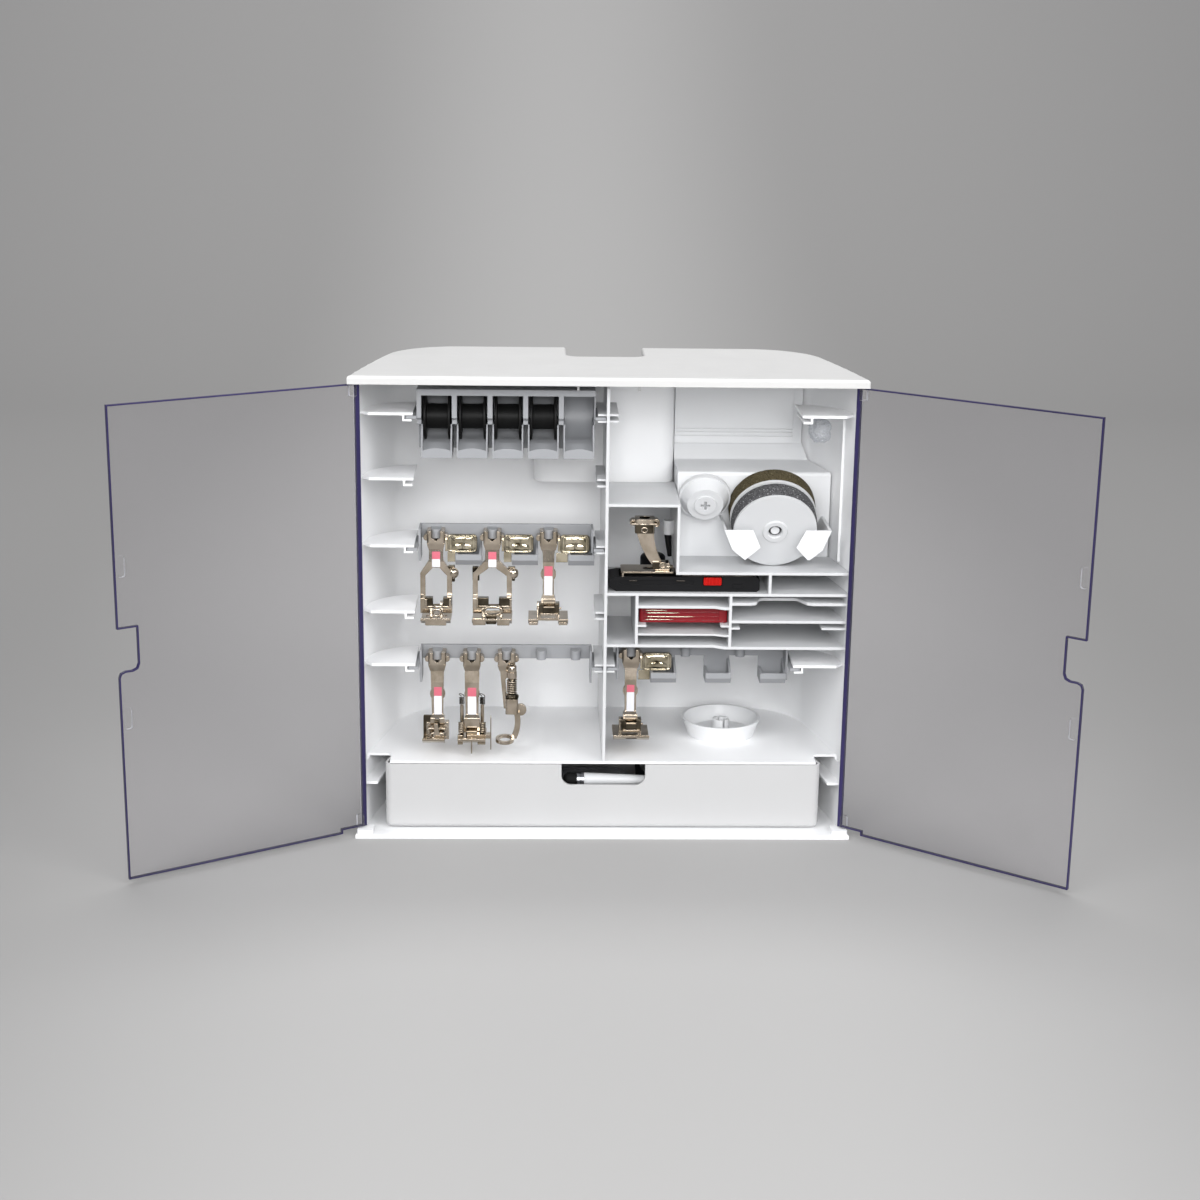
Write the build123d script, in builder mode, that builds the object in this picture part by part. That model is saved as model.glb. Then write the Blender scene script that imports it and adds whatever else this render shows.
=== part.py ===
from build123d import *
import os
from math import cos, radians, sin

os.makedirs("parts", exist_ok=True)

# Sewing machine accessory box, millimetres.
# X runs right, Y runs back, Z runs up. The origin is the centre of the base's underside.
# Depths are counted from FRONT, the plane of the side walls' front edges.

FRONT = -52.0

# Cabinet
BODY_HALF_WIDTH = 146.0
WALL = 2.2
CORNER_X = 88.0
CORNER_DEPTH = 63.2
CORNER_RADIUS = 44.0
CORNER_BLEND = 14.0
BASE_TOP = 2.4
FLOOR_TOP = 45.5
FLOOR_THICKNESS = 1.5
FLOOR_STEP_X = 128.0
FLOOR_STEP_DEPTH = 14.0
LID_UNDERSIDE = 274.5

# Lid and base lips, which reach forward over the doors
LID_HALF_WIDTH = 148.5
LID_OVERHANG = 11.0
LID_THICKNESS = 4.9
LID_CORNER_RADIUS = 44.8
NOTCH_HALF_WIDTH = 23.5
NOTCH_DEPTH = 70.5
NOTCH_CORNER = 8.0
BASE_EAR_TOP = 5.0
BASE_EAR_INNER = 138.0

# Hand grip in the back, under the lid's notch
GRIP_HALF_WIDTH = 41.0
GRIP_FLOOR = 204.0
GRIP_WALL = 1.8

# Slide rails for the racks, as the height of their top face
LEFT_RAIL_TOPS = (256.3, 218.2, 178.3, 138.3, 105.8)
RIGHT_RAIL_TOPS = (256.4, 105.8)
RAIL_THICKNESS = 1.6
RAIL_INNER = 112.3
RAIL_LENGTH = 40.0
RAIL_START = 2.0
CHANNEL_WIDTH = 6.0
CHANNEL_DROP = 5.0
LIP_THICKNESS = 1.2
RIB_REACH = 6.0
EAR_THICKNESS = 1.7
EAR_GAP = 0.3

# Centre wall
DIVIDER_HALF = 0.9

# Doors, drawn shut and then opened by the photographed angles
HINGE_X = 146.0
HINGE_DEPTH = -4.5
DOOR_HALF_THICKNESS = 1.0
DOOR_LENGTH = 145.4
DOOR_TAIL = 3.9
DOOR_BOTTOM = 3.2
DOOR_TOP = 273.9
DOOR_HEEL = 12.0
DOOR_HEEL_BOTTOM = 5.6
LEFT_DOOR_ANGLE = 148.4
RIGHT_DOOR_ANGLE = 142.3
HINGE_PIN_RADIUS = 1.5
HINGE_CLEARANCE = 0.05
KNUCKLE_RADIUS = 2.4
KNUCKLE_HEIGHT = 7.0

# Drawer
DRAWER_HALF_WIDTH = 132.1
DRAWER_CORNER_X = 74.0
DRAWER_CORNER_DEPTH = 53.0
DRAWER_CORNER_RADIUS = 40.0
DRAWER_BLEND = 20.0
DRAWER_BOTTOM = 2.7
DRAWER_RIM = 43.6
DRAWER_WALL = 1.8
DRAWER_START = 0.0

DRAWER_CORNER = 4.0
DRAWER_SPLIT = -39.3
SCOOP_HALF_WIDTH = 25.2
SCOOP_BOTTOM = 30.4

# Shelf unit, as the height of each shelf's top face
SHELF = 1.7
SHELF_LEFT = 0.9
SHELF_RIGHT = 143.0
BAY_DEPTH = 62.0
SHELF_TOP = 203.9
STEP_TOP = 163.4
LONG_TOP = 150.4
UPPER_SHELF_TOP = 144.8
MIDDLE_SHELF_TOP = 134.0
CASE_SHELF_TOP = 142.9
CASE_LEDGE_TOP = 130.9
LOW_SHELF_TOP = 125.7
RIGHT_LEDGE_TOP = 129.6
CELL_BOTTOM = 118.9
THIN_SHELF = 1.2
LEDGE_REACH = 5.5
SAG_START = 64.0
SAG_END = 70.5
BAY_WALL = 42.0
SLEDGE_END = 96.6
NEEDLE_LEFT = 18.4
NEEDLE_RIGHT = 73.8

# Spool insert in the upper right bay
INSERT_FACE = 39.5
INSERT_LEDGE = 215.2
INSERT_LEDGE_BACK = 85.0
INSERT_SLOPE_TOP = 224.4
INSERT_LEFT = 43.3
INSERT_TOP = 272.0
INSERT_SKIN = 1.8
PANEL_LEFT = 43.6
PANEL_RIGHT = 116.7
PANEL_DEPTH = 83.0
CRADLE_LEFT = 68.9
CRADLE_RIGHT = 131.9
CRADLE_TOP = 188.4
CRADLE_FRONT = 1.6
CRADLE_WALL = 1.6

# Leaning stack of spool discs, and the small cap beside it
DISC_TILT = 22.0
STACK_AXIS = (0, cos(radians(DISC_TILT)), sin(radians(DISC_TILT)))
STACK_X = 99.3
STACK_DEPTH = 7.5
STACK_HEIGHT = 186.5
STACK_LENGTH = 28.0
STACK_ROOM = 26.3
DISC_THICKNESS = 2.0
PAD_THICKNESS = 11.7
PAD_GAP = 0.2
PEG_BORE = 2.9
STACK_PEG = 2.6
CAP_X = 58.7
CAP_DEPTH = 29.0
CAP_HEIGHT = 203.2
CAP_RADIUS = 15.4

# Bobbin rack: cells with an open top part and a scoop below
CELL_PITCH = 20.5
FIRST_CELL = -98.8
CELL_WIDTH = 17.6
SCOOP_WIDTH = 16.0
SCOOP_WALL = 0.9
SCOOP_SPLIT_TOP = 249.0
BOBBIN_DEPTH = 18.0
BOBBIN_HEIGHT = 251.8
BOBBIN_RADIUS = 13.3
BOBBIN_HALF_WIDTH = 7.6
TROUGH_RADIUS = 14.2
RACK_LEFT = -110.2
RACK_RIGHT = -7.4
RACK_TOP = 269.6
RACK_FOOT = 229.9
BAR_FRONT = 4.0
BAR_FOOT = 253.0
SCOOP_FRONT = 2.0
LIP_CROWN = 235.8
LIP_END = 234.3

# Stand feet under the back
STAND_PIVOT_X = 76.0
STAND_PIVOT_DEPTH = 101.0
STAND_LOW = 0.3
STAND_HEIGHT = 7.4
STAND_POST = 2.0

# Tapered pin that hangs from a boss beside the tall bay's wall
PIN_X = 37.8
PIN_DEPTH = 34.0
PIN_TOP = 178.0

# Presser foot racks, counted from the rail that each hangs on
RACK_PLATE_FRONT = 27.5
RACK_PLATE_BACK = 29.3
RACK_PLATE_TOP = 6.9
RACK_PLATE_FOOT = 1.5
CHEEK_DEPTH = 14.0
CHEEK_DROP = 12.7
CHEEK_THICKNESS = 1.2
TONGUE_HALF_WIDTH = 2.95
TONGUE_TOP = 5.3
TONGUE_UNDERSIDE = 3.5
PEG_DEPTH = 22.0
PEG_RADIUS = 2.9
PEG_TIP = -0.2
POCKET_SHIFT = 19.4
POCKET_WIDTH = 15.4
POCKET_WALL = 1.4
POCKET_FRONT = 12.0
POCKET_TOP = -8.2
POCKET_FOOT = -15.0
WIDE_PITCH = 33.3
RIGHT_PITCH = 33.0
NARROW_PITCH = 20.8
MIDDLE_RAIL = LEFT_RAIL_TOPS[2]
LOWER_RAIL = LEFT_RAIL_TOPS[4]
NARROW_RAIL = LOWER_RAIL - 2.5

# Presser foot proportions, counted from the rail that the rack hangs on
HEAD_RISE = 4.8
HEAD_DROP = 6.5
HEAD_SHOULDER = 2.6
HEAD_WIDTH = 10.6
HEAD_LENGTH = 11.0
HEAD_SLOT_FLOOR = 3.3
HEAD_BORE_FLOOR = 1.2
LUG_HEIGHT = 0.4
SHANK_THICKNESS = 2.6
HINGE_BLOCK_DROP = 45.0
HINGE_PIN_DROP = 41.6
FOOT_DROP = 49.5
SOLE_THICKNESS = 1.5
CODING_DEPTH = 17.0
CODING_HEIGHT = -2.6

# Dish on the floor
DISH_X = 74.8
DISH_DEPTH = 54.8
DISH_RADIUS = 24.5
DISH_BASE_RADIUS = 20.8
DISH_HEIGHT = 10.8
DISH_WALL = 1.5
DISH_TURN = 20.0


def depth(d):
    """Upright drawing plane that faces the viewer, d behind the front edges."""
    return Plane.XZ.offset(-(FRONT + d))


def side(x):
    """Upright drawing plane across the box at x, with local x running back."""
    return Plane.YZ.offset(x)


def on_stack(x, d, z, back):
    """Plane square to the leaning disc axis, back behind the front face's centre."""
    return Plane((x, FRONT + d, z), x_dir=(1, 0, 0), z_dir=STACK_AXIS).offset(back)


def bowed_plan(half_width, front, corner_x, corner_y, corner_r, blend, front_round=0.0):
    """Plan of the box: straight front, gently bowed sides, round rear corners, flat back."""
    a = radians(blend)
    mid = (radians(90) + a) / 2
    knuckle = (corner_x + corner_r * cos(a), corner_y + corner_r * sin(a))
    crown = (corner_x + corner_r * cos(mid), corner_y + corner_r * sin(mid))
    rear = (corner_x, corner_y + corner_r)
    with BuildSketch() as plan:
        with BuildLine():
            Line((0, front), (half_width, front))
            TangentArc(knuckle, (half_width, front), tangent=(sin(a), -cos(a)))
            ThreePointArc(knuckle, crown, rear)
            Line(rear, (0, corner_y + corner_r))
            mirror(about=Plane.YZ)
        make_face()
        if front_round:
            corners = vertices().group_by(Axis.Y)[0].sort_by(Axis.X)
            fillet([corners[0], corners[-1]], front_round)
    return plan.sketch


def cabinet_plan(inset, front=0.0):
    """Cabinet plan, drawn inset from the outer skin."""
    return bowed_plan(
        BODY_HALF_WIDTH - inset - 0.16 * front,
        FRONT + front,
        CORNER_X,
        FRONT + CORNER_DEPTH,
        CORNER_RADIUS - inset,
        CORNER_BLEND,
    )


def lid_plan(inset=0.0):
    """Plan of the lid and of the base, which share one outline."""
    return bowed_plan(
        LID_HALF_WIDTH - inset,
        FRONT - LID_OVERHANG + inset,
        CORNER_X,
        FRONT + CORNER_DEPTH,
        LID_CORNER_RADIUS - inset,
        CORNER_BLEND,
    )


def grip_plan(half_width, start, rear, corner):
    """Plan of the hand grip, square to the back and rounded at its front corners."""
    with BuildSketch() as plan:
        with BuildLine():
            Polyline(
                (half_width, rear), (half_width, start), (-half_width, start), (-half_width, rear),
                close=True,
            )
        make_face()
        fillet(vertices().group_by(Axis.Y)[0], corner)
    return plan.sketch


# Cabinet shell: back and sides in one, with base, floor, grip and the side rails
with BuildPart() as cabinet_shell:
    with BuildSketch():
        add(cabinet_plan(0))
    extrude(amount=LID_UNDERSIDE)
    with BuildSketch(Plane.XY.offset(BASE_TOP)):
        add(cabinet_plan(WALL, -1))
    extrude(amount=FLOOR_TOP - FLOOR_THICKNESS - BASE_TOP, mode=Mode.SUBTRACT)
    with BuildSketch(Plane.XY.offset(FLOOR_TOP)):
        add(cabinet_plan(WALL, -1))
    extrude(amount=LID_UNDERSIDE - FLOOR_TOP, mode=Mode.SUBTRACT)

    # Base plate with the lid's outline and two raised front ears for the lower hinge pins
    with BuildSketch():
        add(lid_plan())
    extrude(amount=BASE_TOP)
    for turn in (-1, 1):
        with BuildSketch(Plane.XY.offset(BASE_TOP)):
            with BuildLine():
                Polyline(
                    (turn * BASE_EAR_INNER, FRONT),
                    (turn * BASE_EAR_INNER, FRONT - LID_OVERHANG + 0.6),
                    (turn * (LID_HALF_WIDTH - 0.5), FRONT - LID_OVERHANG + 0.6),
                    (turn * (BODY_HALF_WIDTH), FRONT),
                    close=True,
                )
            make_face()
            fillet(vertices().group_by(Axis.Y)[0], 2)
        extrude(amount=BASE_EAR_TOP - BASE_TOP)
        with Locations((turn * HINGE_X, FRONT + HINGE_DEPTH, BASE_EAR_TOP)):
            Hole(HINGE_PIN_RADIUS + HINGE_CLEARANCE, depth=BASE_EAR_TOP - 0.8)

    # Hand grip: a pocket let into the back, open above and behind
    with BuildSketch(Plane.XY.offset(GRIP_FLOOR - GRIP_WALL)):
        add(grip_plan(GRIP_HALF_WIDTH + GRIP_WALL, FRONT + NOTCH_DEPTH - GRIP_WALL, FRONT + 106, 9))
    extrude(amount=LID_UNDERSIDE - GRIP_FLOOR + GRIP_WALL)
    with BuildSketch(Plane.XY.offset(GRIP_FLOOR)):
        add(grip_plan(GRIP_HALF_WIDTH, FRONT + NOTCH_DEPTH, FRONT + 120, 7.2))
    extrude(amount=LID_UNDERSIDE - GRIP_FLOOR, mode=Mode.SUBTRACT)

    # Side rails: a wedge bracket with a C channel under its inner end
    for turn, tops in ((-1, LEFT_RAIL_TOPS), (1, RIGHT_RAIL_TOPS)):
        for top in tops:
            with BuildSketch(Plane.XY.offset(top - RAIL_THICKNESS)):
                near = FRONT + RAIL_START
                with BuildLine():
                    Polyline(
                        (turn * 143.0, near + 6),
                        (turn * 138.0, near),
                        (turn * RAIL_INNER, near),
                        (turn * RAIL_INNER, near + RAIL_LENGTH - 2),
                    )
                    ThreePointArc(
                        (turn * RAIL_INNER, near + RAIL_LENGTH - 2),
                        (turn * 130.0, near + 31.0),
                        (turn * 143.0, near + 6),
                    )
                make_face()
            extrude(amount=RAIL_THICKNESS)
            web = RAIL_INNER + CHANNEL_WIDTH
            with BuildSketch(depth(RAIL_START)):
                with BuildLine():
                    Polyline(
                        (turn * web, top - RAIL_THICKNESS),
                        (turn * web, top - CHANNEL_DROP),
                        (turn * (RAIL_INNER + 0.6), top - CHANNEL_DROP),
                        (turn * (RAIL_INNER + 0.6), top - CHANNEL_DROP + LIP_THICKNESS),
                        (turn * (web - LIP_THICKNESS), top - CHANNEL_DROP + LIP_THICKNESS),
                        (turn * (web - LIP_THICKNESS), top - RAIL_THICKNESS),
                        close=True,
                    )
                make_face()
            extrude(amount=-RAIL_LENGTH + 8)

    # The floor steps back at both ends of its front edge
    with BuildSketch(Plane.XY.offset(FLOOR_TOP - FLOOR_THICKNESS - 1)):
        for turn in (-1, 1):
            with BuildLine():
                Polyline(
                    (turn * FLOOR_STEP_X, FRONT - 2), (turn * FLOOR_STEP_X, FRONT + FLOOR_STEP_DEPTH),
                    (turn * 142.6, FRONT + FLOOR_STEP_DEPTH), (turn * 142.6, FRONT - 2),
                    close=True,
                )
            make_face()
        fillet(vertices().group_by(Axis.Y)[-1].sort_by(Axis.X)[1:3], 3.0)
    extrude(amount=FLOOR_THICKNESS + 2, mode=Mode.SUBTRACT)

    # Drawer guides low on the side walls
    for turn in (-1, 1):
        with BuildSketch(Plane.XY.offset(30.4)):
            with BuildLine():
                Polyline(
                    (turn * 144.4, FRONT + 1), (turn * 135.6, FRONT + 1),
                    (turn * 127.5, FRONT + 48), (turn * 137.0, FRONT + 50),
                    close=True,
                )
            make_face()
        extrude(amount=1.6)

    # Finger-wide rib up the right wall
    with BuildSketch(Plane.XY.offset(165.0)):
        with Locations((139.6, FRONT + 22.0)):
            Rectangle(2.0, 1.6)
    extrude(amount=86.0)

    # Two recesses in the foot of the back wall take the swing-out stand feet
    for turn in (-1, 1):
        with BuildSketch(Plane.XY):
            with Locations((turn * 47.0, FRONT + 104.0)):
                Rectangle(74.0, 20.0)
        extrude(amount=STAND_LOW + STAND_HEIGHT + 0.3, mode=Mode.SUBTRACT)
        # roof over the recess, and the pivot post
        with BuildSketch(Plane.XY.offset(STAND_LOW + STAND_HEIGHT + 0.3)):
            with Locations((turn * 47.0, FRONT + 100.0)):
                Rectangle(78.0, 12.0)
        extrude(amount=1.8)
        with BuildSketch(Plane.XY.offset(STAND_LOW)):
            with Locations((turn * STAND_PIVOT_X, FRONT + STAND_PIVOT_DEPTH)):
                Circle(STAND_POST)
        extrude(amount=STAND_HEIGHT + 0.5)
cabinet_shell.part.label = "cabinet_shell"


# Lid: a bowed plate with rounded edges, notched over the hand grip
with BuildPart() as lid:
    with BuildSketch(Plane.XY.offset(LID_UNDERSIDE)):
        add(lid_plan())
        add(grip_plan(NOTCH_HALF_WIDTH, FRONT + NOTCH_DEPTH, FRONT + 120, NOTCH_CORNER), mode=Mode.SUBTRACT)
    extrude(amount=LID_THICKNESS)
    fillet(edges().group_by(Axis.Z)[-1], 1.5)
    for turn in (-1, 1):
        with BuildSketch(Plane.XY.offset(LID_UNDERSIDE)):
            with Locations((turn * 17.5, FRONT - 1.8)):
                Rectangle(1.3, 2.0)
        extrude(amount=-3.7)
        with Locations(Plane((turn * HINGE_X, FRONT + HINGE_DEPTH, LID_UNDERSIDE), z_dir=(0, 0, -1))):
            Hole(HINGE_PIN_RADIUS + HINGE_CLEARANCE, depth=3.2)
lid.part.label = "lid"


# Centre wall with stub rails on both faces
with BuildPart() as divider:
    with BuildSketch(side(0)):
        with BuildLine():
            Polyline(
                (FRONT, FLOOR_TOP), (FRONT, LID_UNDERSIDE - 3.0),
                (FRONT + 3.0, LID_UNDERSIDE), (FRONT + NOTCH_DEPTH - GRIP_WALL, LID_UNDERSIDE),
                (FRONT + NOTCH_DEPTH - GRIP_WALL, GRIP_FLOOR - GRIP_WALL),
                (FRONT + 105.0, GRIP_FLOOR - GRIP_WALL), (FRONT + 105.0, FLOOR_TOP),
                close=True,
            )
        make_face()
    extrude(amount=DIVIDER_HALF, both=True)
    for turn, tops in ((-1, LEFT_RAIL_TOPS), (1, RIGHT_RAIL_TOPS)):
        for top in tops:
            for rib_top in (top, top - CHANNEL_DROP + LIP_THICKNESS):
                with BuildSketch(Plane.XY.offset(rib_top - LIP_THICKNESS)):
                    with Locations((turn * RIB_REACH / 2, FRONT + RAIL_START + RAIL_LENGTH / 2)):
                        Rectangle(RIB_REACH, RAIL_LENGTH)
                extrude(amount=LIP_THICKNESS)
divider.part.label = "divider"


# Shelf unit: one moulding that divides the right half into bays, cut to the wall's curve
with BuildPart() as shelf_unit:
    with BuildSketch(depth(0)):
        # flat shelves, as (left, right, top)
        for left, right, top in (
            (SHELF_LEFT, BAY_WALL + SHELF / 2, SHELF_TOP),
            (BAY_WALL - SHELF / 2, SHELF_RIGHT, STEP_TOP),
            (SHELF_LEFT, SHELF_RIGHT, LONG_TOP),
            (NEEDLE_RIGHT, SHELF_RIGHT, UPPER_SHELF_TOP),
            (NEEDLE_RIGHT, SHELF_RIGHT, MIDDLE_SHELF_TOP),
        ):
            with Locations(((left + right) / 2, top - SHELF / 2)):
                Rectangle(right - left, SHELF)
        # shelves of the needle cell, which step down gently, as (left, right, top, drop, thickness)
        for left, right, top, drop, thick in (
            (NEEDLE_LEFT, NEEDLE_RIGHT, CASE_SHELF_TOP, 0.9, SHELF),
            (NEEDLE_LEFT, NEEDLE_RIGHT, LOW_SHELF_TOP, 0.7, THIN_SHELF),
            (SHELF_LEFT, SHELF_RIGHT, CELL_BOTTOM, 1.1, SHELF),
        ):
            with BuildLine():
                Polyline(
                    (left, top), (SAG_START, top), (SAG_END, top - drop), (right, top - drop),
                    (right, top - drop - thick), (SAG_END, top - drop - thick),
                    (SAG_START, top - thick), (left, top - thick),
                    close=True,
                )
            make_face()
        # walls, as (x, bottom, top)
        for x, bottom, top in (
            (BAY_WALL, STEP_TOP - SHELF, SHELF_TOP),
            (SLEDGE_END, LONG_TOP - SHELF, STEP_TOP),
            (NEEDLE_LEFT, CELL_BOTTOM - SHELF, LONG_TOP),
            (NEEDLE_RIGHT, CELL_BOTTOM - 1.1 - SHELF, LONG_TOP),
        ):
            with Locations((x, (bottom + top) / 2)):
                Rectangle(SHELF, top - bottom)
        # short ledges that carry flat cases
        for x, width, top in (
            (NEEDLE_LEFT + 3.0, LEDGE_REACH, CASE_LEDGE_TOP),
            (NEEDLE_RIGHT - 3.0, LEDGE_REACH, CASE_LEDGE_TOP),
            (NEEDLE_RIGHT + 3.0, LEDGE_REACH, RIGHT_LEDGE_TOP),
            (SHELF_RIGHT - 8.0, 14.0, RIGHT_LEDGE_TOP),
        ):
            with Locations((x, top - THIN_SHELF / 2)):
                Rectangle(width, THIN_SHELF)
    extrude(amount=-BAY_DEPTH)
    # the sledge's shelf is cut away over the tall bay
    with BuildSketch(depth(-1)):
        with Locations(((SHELF_LEFT + BAY_WALL - SHELF / 2) / 2, (LONG_TOP + SHELF_TOP - SHELF) / 2)):
            Rectangle(BAY_WALL - SHELF / 2 - SHELF_LEFT, SHELF_TOP - SHELF - LONG_TOP)
    extrude(amount=-BAY_DEPTH - 2, mode=Mode.SUBTRACT)
    # boss on the tall bay's wall, for the tapered pin
    with BuildSketch(Plane.XY.offset(PIN_TOP + 0.3)):
        with Locations((PIN_X + 0.2, FRONT + PIN_DEPTH)):
            Circle(3.2)
        with Locations((PIN_X + 2.4, FRONT + PIN_DEPTH)):
            Rectangle(4.4, 3.0)
    extrude(amount=8.6)
    # finger cut-out in the upper right shelf, with soft corners
    with BuildSketch(Plane.XY.offset(UPPER_SHELF_TOP - SHELF - 1)):
        with BuildLine():
            Polyline(
                (85.6, FRONT - 1), (85.6, FRONT), (89.2, FRONT + 1.6), (91.8, FRONT + 11.7),
                (114.1, FRONT + 11.7), (118.9, FRONT + 1.6), (122.6, FRONT), (122.6, FRONT - 1),
                close=True,
            )
        make_face()
        fillet(vertices().group_by(Axis.Y)[-1], 4.0)
        fillet(vertices().filter_by_position(Axis.Y, FRONT + 1.5, FRONT + 1.7), 2.0)
    extrude(amount=SHELF + 2, mode=Mode.SUBTRACT)
    # end wall that follows the cabinet's side
    with BuildSketch(Plane.XY.offset(CELL_BOTTOM - 1 - SHELF)):
        add(cabinet_plan(WALL, -1))
        add(cabinet_plan(WALL + 1.6, -2), mode=Mode.SUBTRACT)
        with Locations((120, FRONT + BAY_DEPTH / 2)):
            Rectangle(60, BAY_DEPTH, mode=Mode.INTERSECT)
    extrude(amount=LONG_TOP - CELL_BOTTOM + 1 + SHELF)
    with BuildSketch(Plane.XY.offset(100)):
        add(cabinet_plan(WALL + 0.15, -1))
    extrude(amount=120, mode=Mode.INTERSECT)
shelf_unit.part.label = "shelf_unit"


# Spool insert: a hollow block in the upper right bay with a ledge, a raised panel and a disc cradle
with BuildPart() as spool_insert:
    with BuildSketch(side(37.6)):
        with BuildLine():
            Polyline(
                (FRONT + INSERT_FACE, STEP_TOP), (FRONT + INSERT_FACE, INSERT_LEDGE),
                (FRONT + INSERT_LEDGE_BACK - 7, INSERT_LEDGE),
                (FRONT + INSERT_LEDGE_BACK, INSERT_SLOPE_TOP), (FRONT + INSERT_LEDGE_BACK, INSERT_TOP),
                (FRONT + 103.5, INSERT_TOP), (FRONT + 103.5, STEP_TOP),
                close=True,
            )
        make_face()
        fillet(vertices().filter_by_position(Axis.Y, INSERT_LEDGE - 0.1, INSERT_LEDGE + 0.1), 2.0)
    extrude(amount=104.5)
    with BuildSketch(depth(PANEL_DEPTH)):
        with Locations(((PANEL_LEFT + PANEL_RIGHT) / 2, (INSERT_SLOPE_TOP + INSERT_TOP) / 2)):
            RectangleRounded(PANEL_RIGHT - PANEL_LEFT, INSERT_TOP - INSERT_SLOPE_TOP, 1.0)
    extrude(amount=PANEL_DEPTH - INSERT_LEDGE_BACK - 0.5)
    # three fine grooves across the panel's foot
    with BuildSketch(depth(PANEL_DEPTH)):
        for height in (229.1, 231.6, 233.6):
            with Locations(((PANEL_LEFT + PANEL_RIGHT) / 2, height)):
                Rectangle(PANEL_RIGHT - PANEL_LEFT + 2, 0.6)
    extrude(amount=-0.6, mode=Mode.SUBTRACT)
    with BuildSketch(Plane.XY.offset(STEP_TOP)):
        add(cabinet_plan(WALL + 1.0, -1))
        with Locations((0, FRONT + 60)):
            Rectangle(2 * (GRIP_HALF_WIDTH + GRIP_WALL + 0.6), 130, mode=Mode.SUBTRACT)
    extrude(amount=INSERT_TOP - STEP_TOP, mode=Mode.INTERSECT)
    # hollow from behind
    with BuildSketch(side(INSERT_LEFT + 2)):
        with BuildLine():
            Polyline(
                (FRONT + INSERT_FACE + INSERT_SKIN, STEP_TOP - 1),
                (FRONT + INSERT_FACE + INSERT_SKIN, INSERT_LEDGE - INSERT_SKIN),
                (FRONT + INSERT_LEDGE_BACK - 6, INSERT_LEDGE - INSERT_SKIN),
                (FRONT + INSERT_LEDGE_BACK + INSERT_SKIN, INSERT_SLOPE_TOP - 1),
                (FRONT + INSERT_LEDGE_BACK + INSERT_SKIN, INSERT_TOP - INSERT_SKIN),
                (FRONT + 110, INSERT_TOP - INSERT_SKIN), (FRONT + 110, STEP_TOP - 1),
                close=True,
            )
        make_face()
    extrude(amount=74, mode=Mode.SUBTRACT)

    # cradle for the discs: side cheeks and a front wall with a wide V cut
    with BuildSketch(depth(CRADLE_FRONT)):
        with BuildLine():
            Polyline(
                (CRADLE_LEFT, CRADLE_TOP), (CRADLE_LEFT + 17.0, CRADLE_TOP),
                (CRADLE_LEFT + 21.5, 178.0), (CRADLE_LEFT + 12.5, 170.5),
                (CRADLE_LEFT + 5.0, 176.5),
                close=True,
            )
        make_face()
        with BuildLine():
            Polyline(
                (CRADLE_RIGHT, CRADLE_TOP), (CRADLE_RIGHT - 15.0, CRADLE_TOP),
                (CRADLE_RIGHT - 20.5, 178.0), (CRADLE_RIGHT - 13.5, 170.5),
                (CRADLE_RIGHT - 5.0, 176.5),
                close=True,
            )
        make_face()
    extrude(amount=-CRADLE_WALL)
    for corner, low, lean in ((CRADLE_LEFT, CRADLE_LEFT + 5.0, 1), (CRADLE_RIGHT, CRADLE_RIGHT - 5.0, -1)):
        with BuildSketch(depth(CRADLE_FRONT)):
            with BuildLine():
                Polyline(
                    (corner, CRADLE_TOP), (low, 176.5),
                    (low + lean * 7.5, 170.5), (low + lean * 8.4, 171.8),
                    (low + lean * 1.6, 177.2), (corner + lean * 1.6, CRADLE_TOP),
                    close=True,
                )
            make_face()
        extrude(amount=-(INSERT_FACE - CRADLE_FRONT + 0.5))

    # room for the leaning stack, then the pegs that carry it
    with BuildSketch(on_stack(STACK_X, STACK_DEPTH, STACK_HEIGHT, -1.4)):
        Circle(STACK_ROOM)
    extrude(amount=STACK_LENGTH + 2.0, mode=Mode.SUBTRACT)
    for x, d, z, reach in ((STACK_X, STACK_DEPTH, STACK_HEIGHT, 36.0), (CAP_X, CAP_DEPTH, CAP_HEIGHT, 12.8)):
        with BuildSketch(on_stack(x, d, z, 0.8)):
            Circle(STACK_PEG)
        extrude(amount=reach)
spool_insert.part.label = "spool_insert"


# Spool discs and foam pads, stacked on the long peg
grey_start = DISC_THICKNESS + PAD_GAP
middle_start = grey_start + PAD_THICKNESS + PAD_GAP
olive_start = middle_start + DISC_THICKNESS + PAD_GAP
with BuildPart() as front_spool_disc:
    with BuildSketch(on_stack(STACK_X, STACK_DEPTH, STACK_HEIGHT, 0)):
        Circle(24.6)
        Circle(PEG_BORE + 1.0, mode=Mode.SUBTRACT)
    extrude(amount=DISC_THICKNESS)
    with BuildSketch(on_stack(STACK_X, STACK_DEPTH, STACK_HEIGHT, 0)):
        Circle(7.6)
        Circle(PEG_BORE + 1.0, mode=Mode.SUBTRACT)
    extrude(amount=-1.0, taper=30)
front_spool_disc.part.label = "front_spool_disc"

with BuildPart() as grey_foam_pad:
    with BuildSketch(on_stack(STACK_X, STACK_DEPTH, STACK_HEIGHT, grey_start)):
        Circle(25.0)
        Circle(PEG_BORE, mode=Mode.SUBTRACT)
    extrude(amount=PAD_THICKNESS)
    chamfer(edges().filter_by(GeomType.CIRCLE).sort_by(SortBy.RADIUS)[-2:], 0.8)
grey_foam_pad.part.label = "grey_foam_pad"

with BuildPart() as middle_spool_disc:
    with BuildSketch(on_stack(STACK_X, STACK_DEPTH, STACK_HEIGHT, middle_start)):
        Circle(25.6)
        Circle(PEG_BORE, mode=Mode.SUBTRACT)
    extrude(amount=DISC_THICKNESS)
middle_spool_disc.part.label = "middle_spool_disc"

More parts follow.
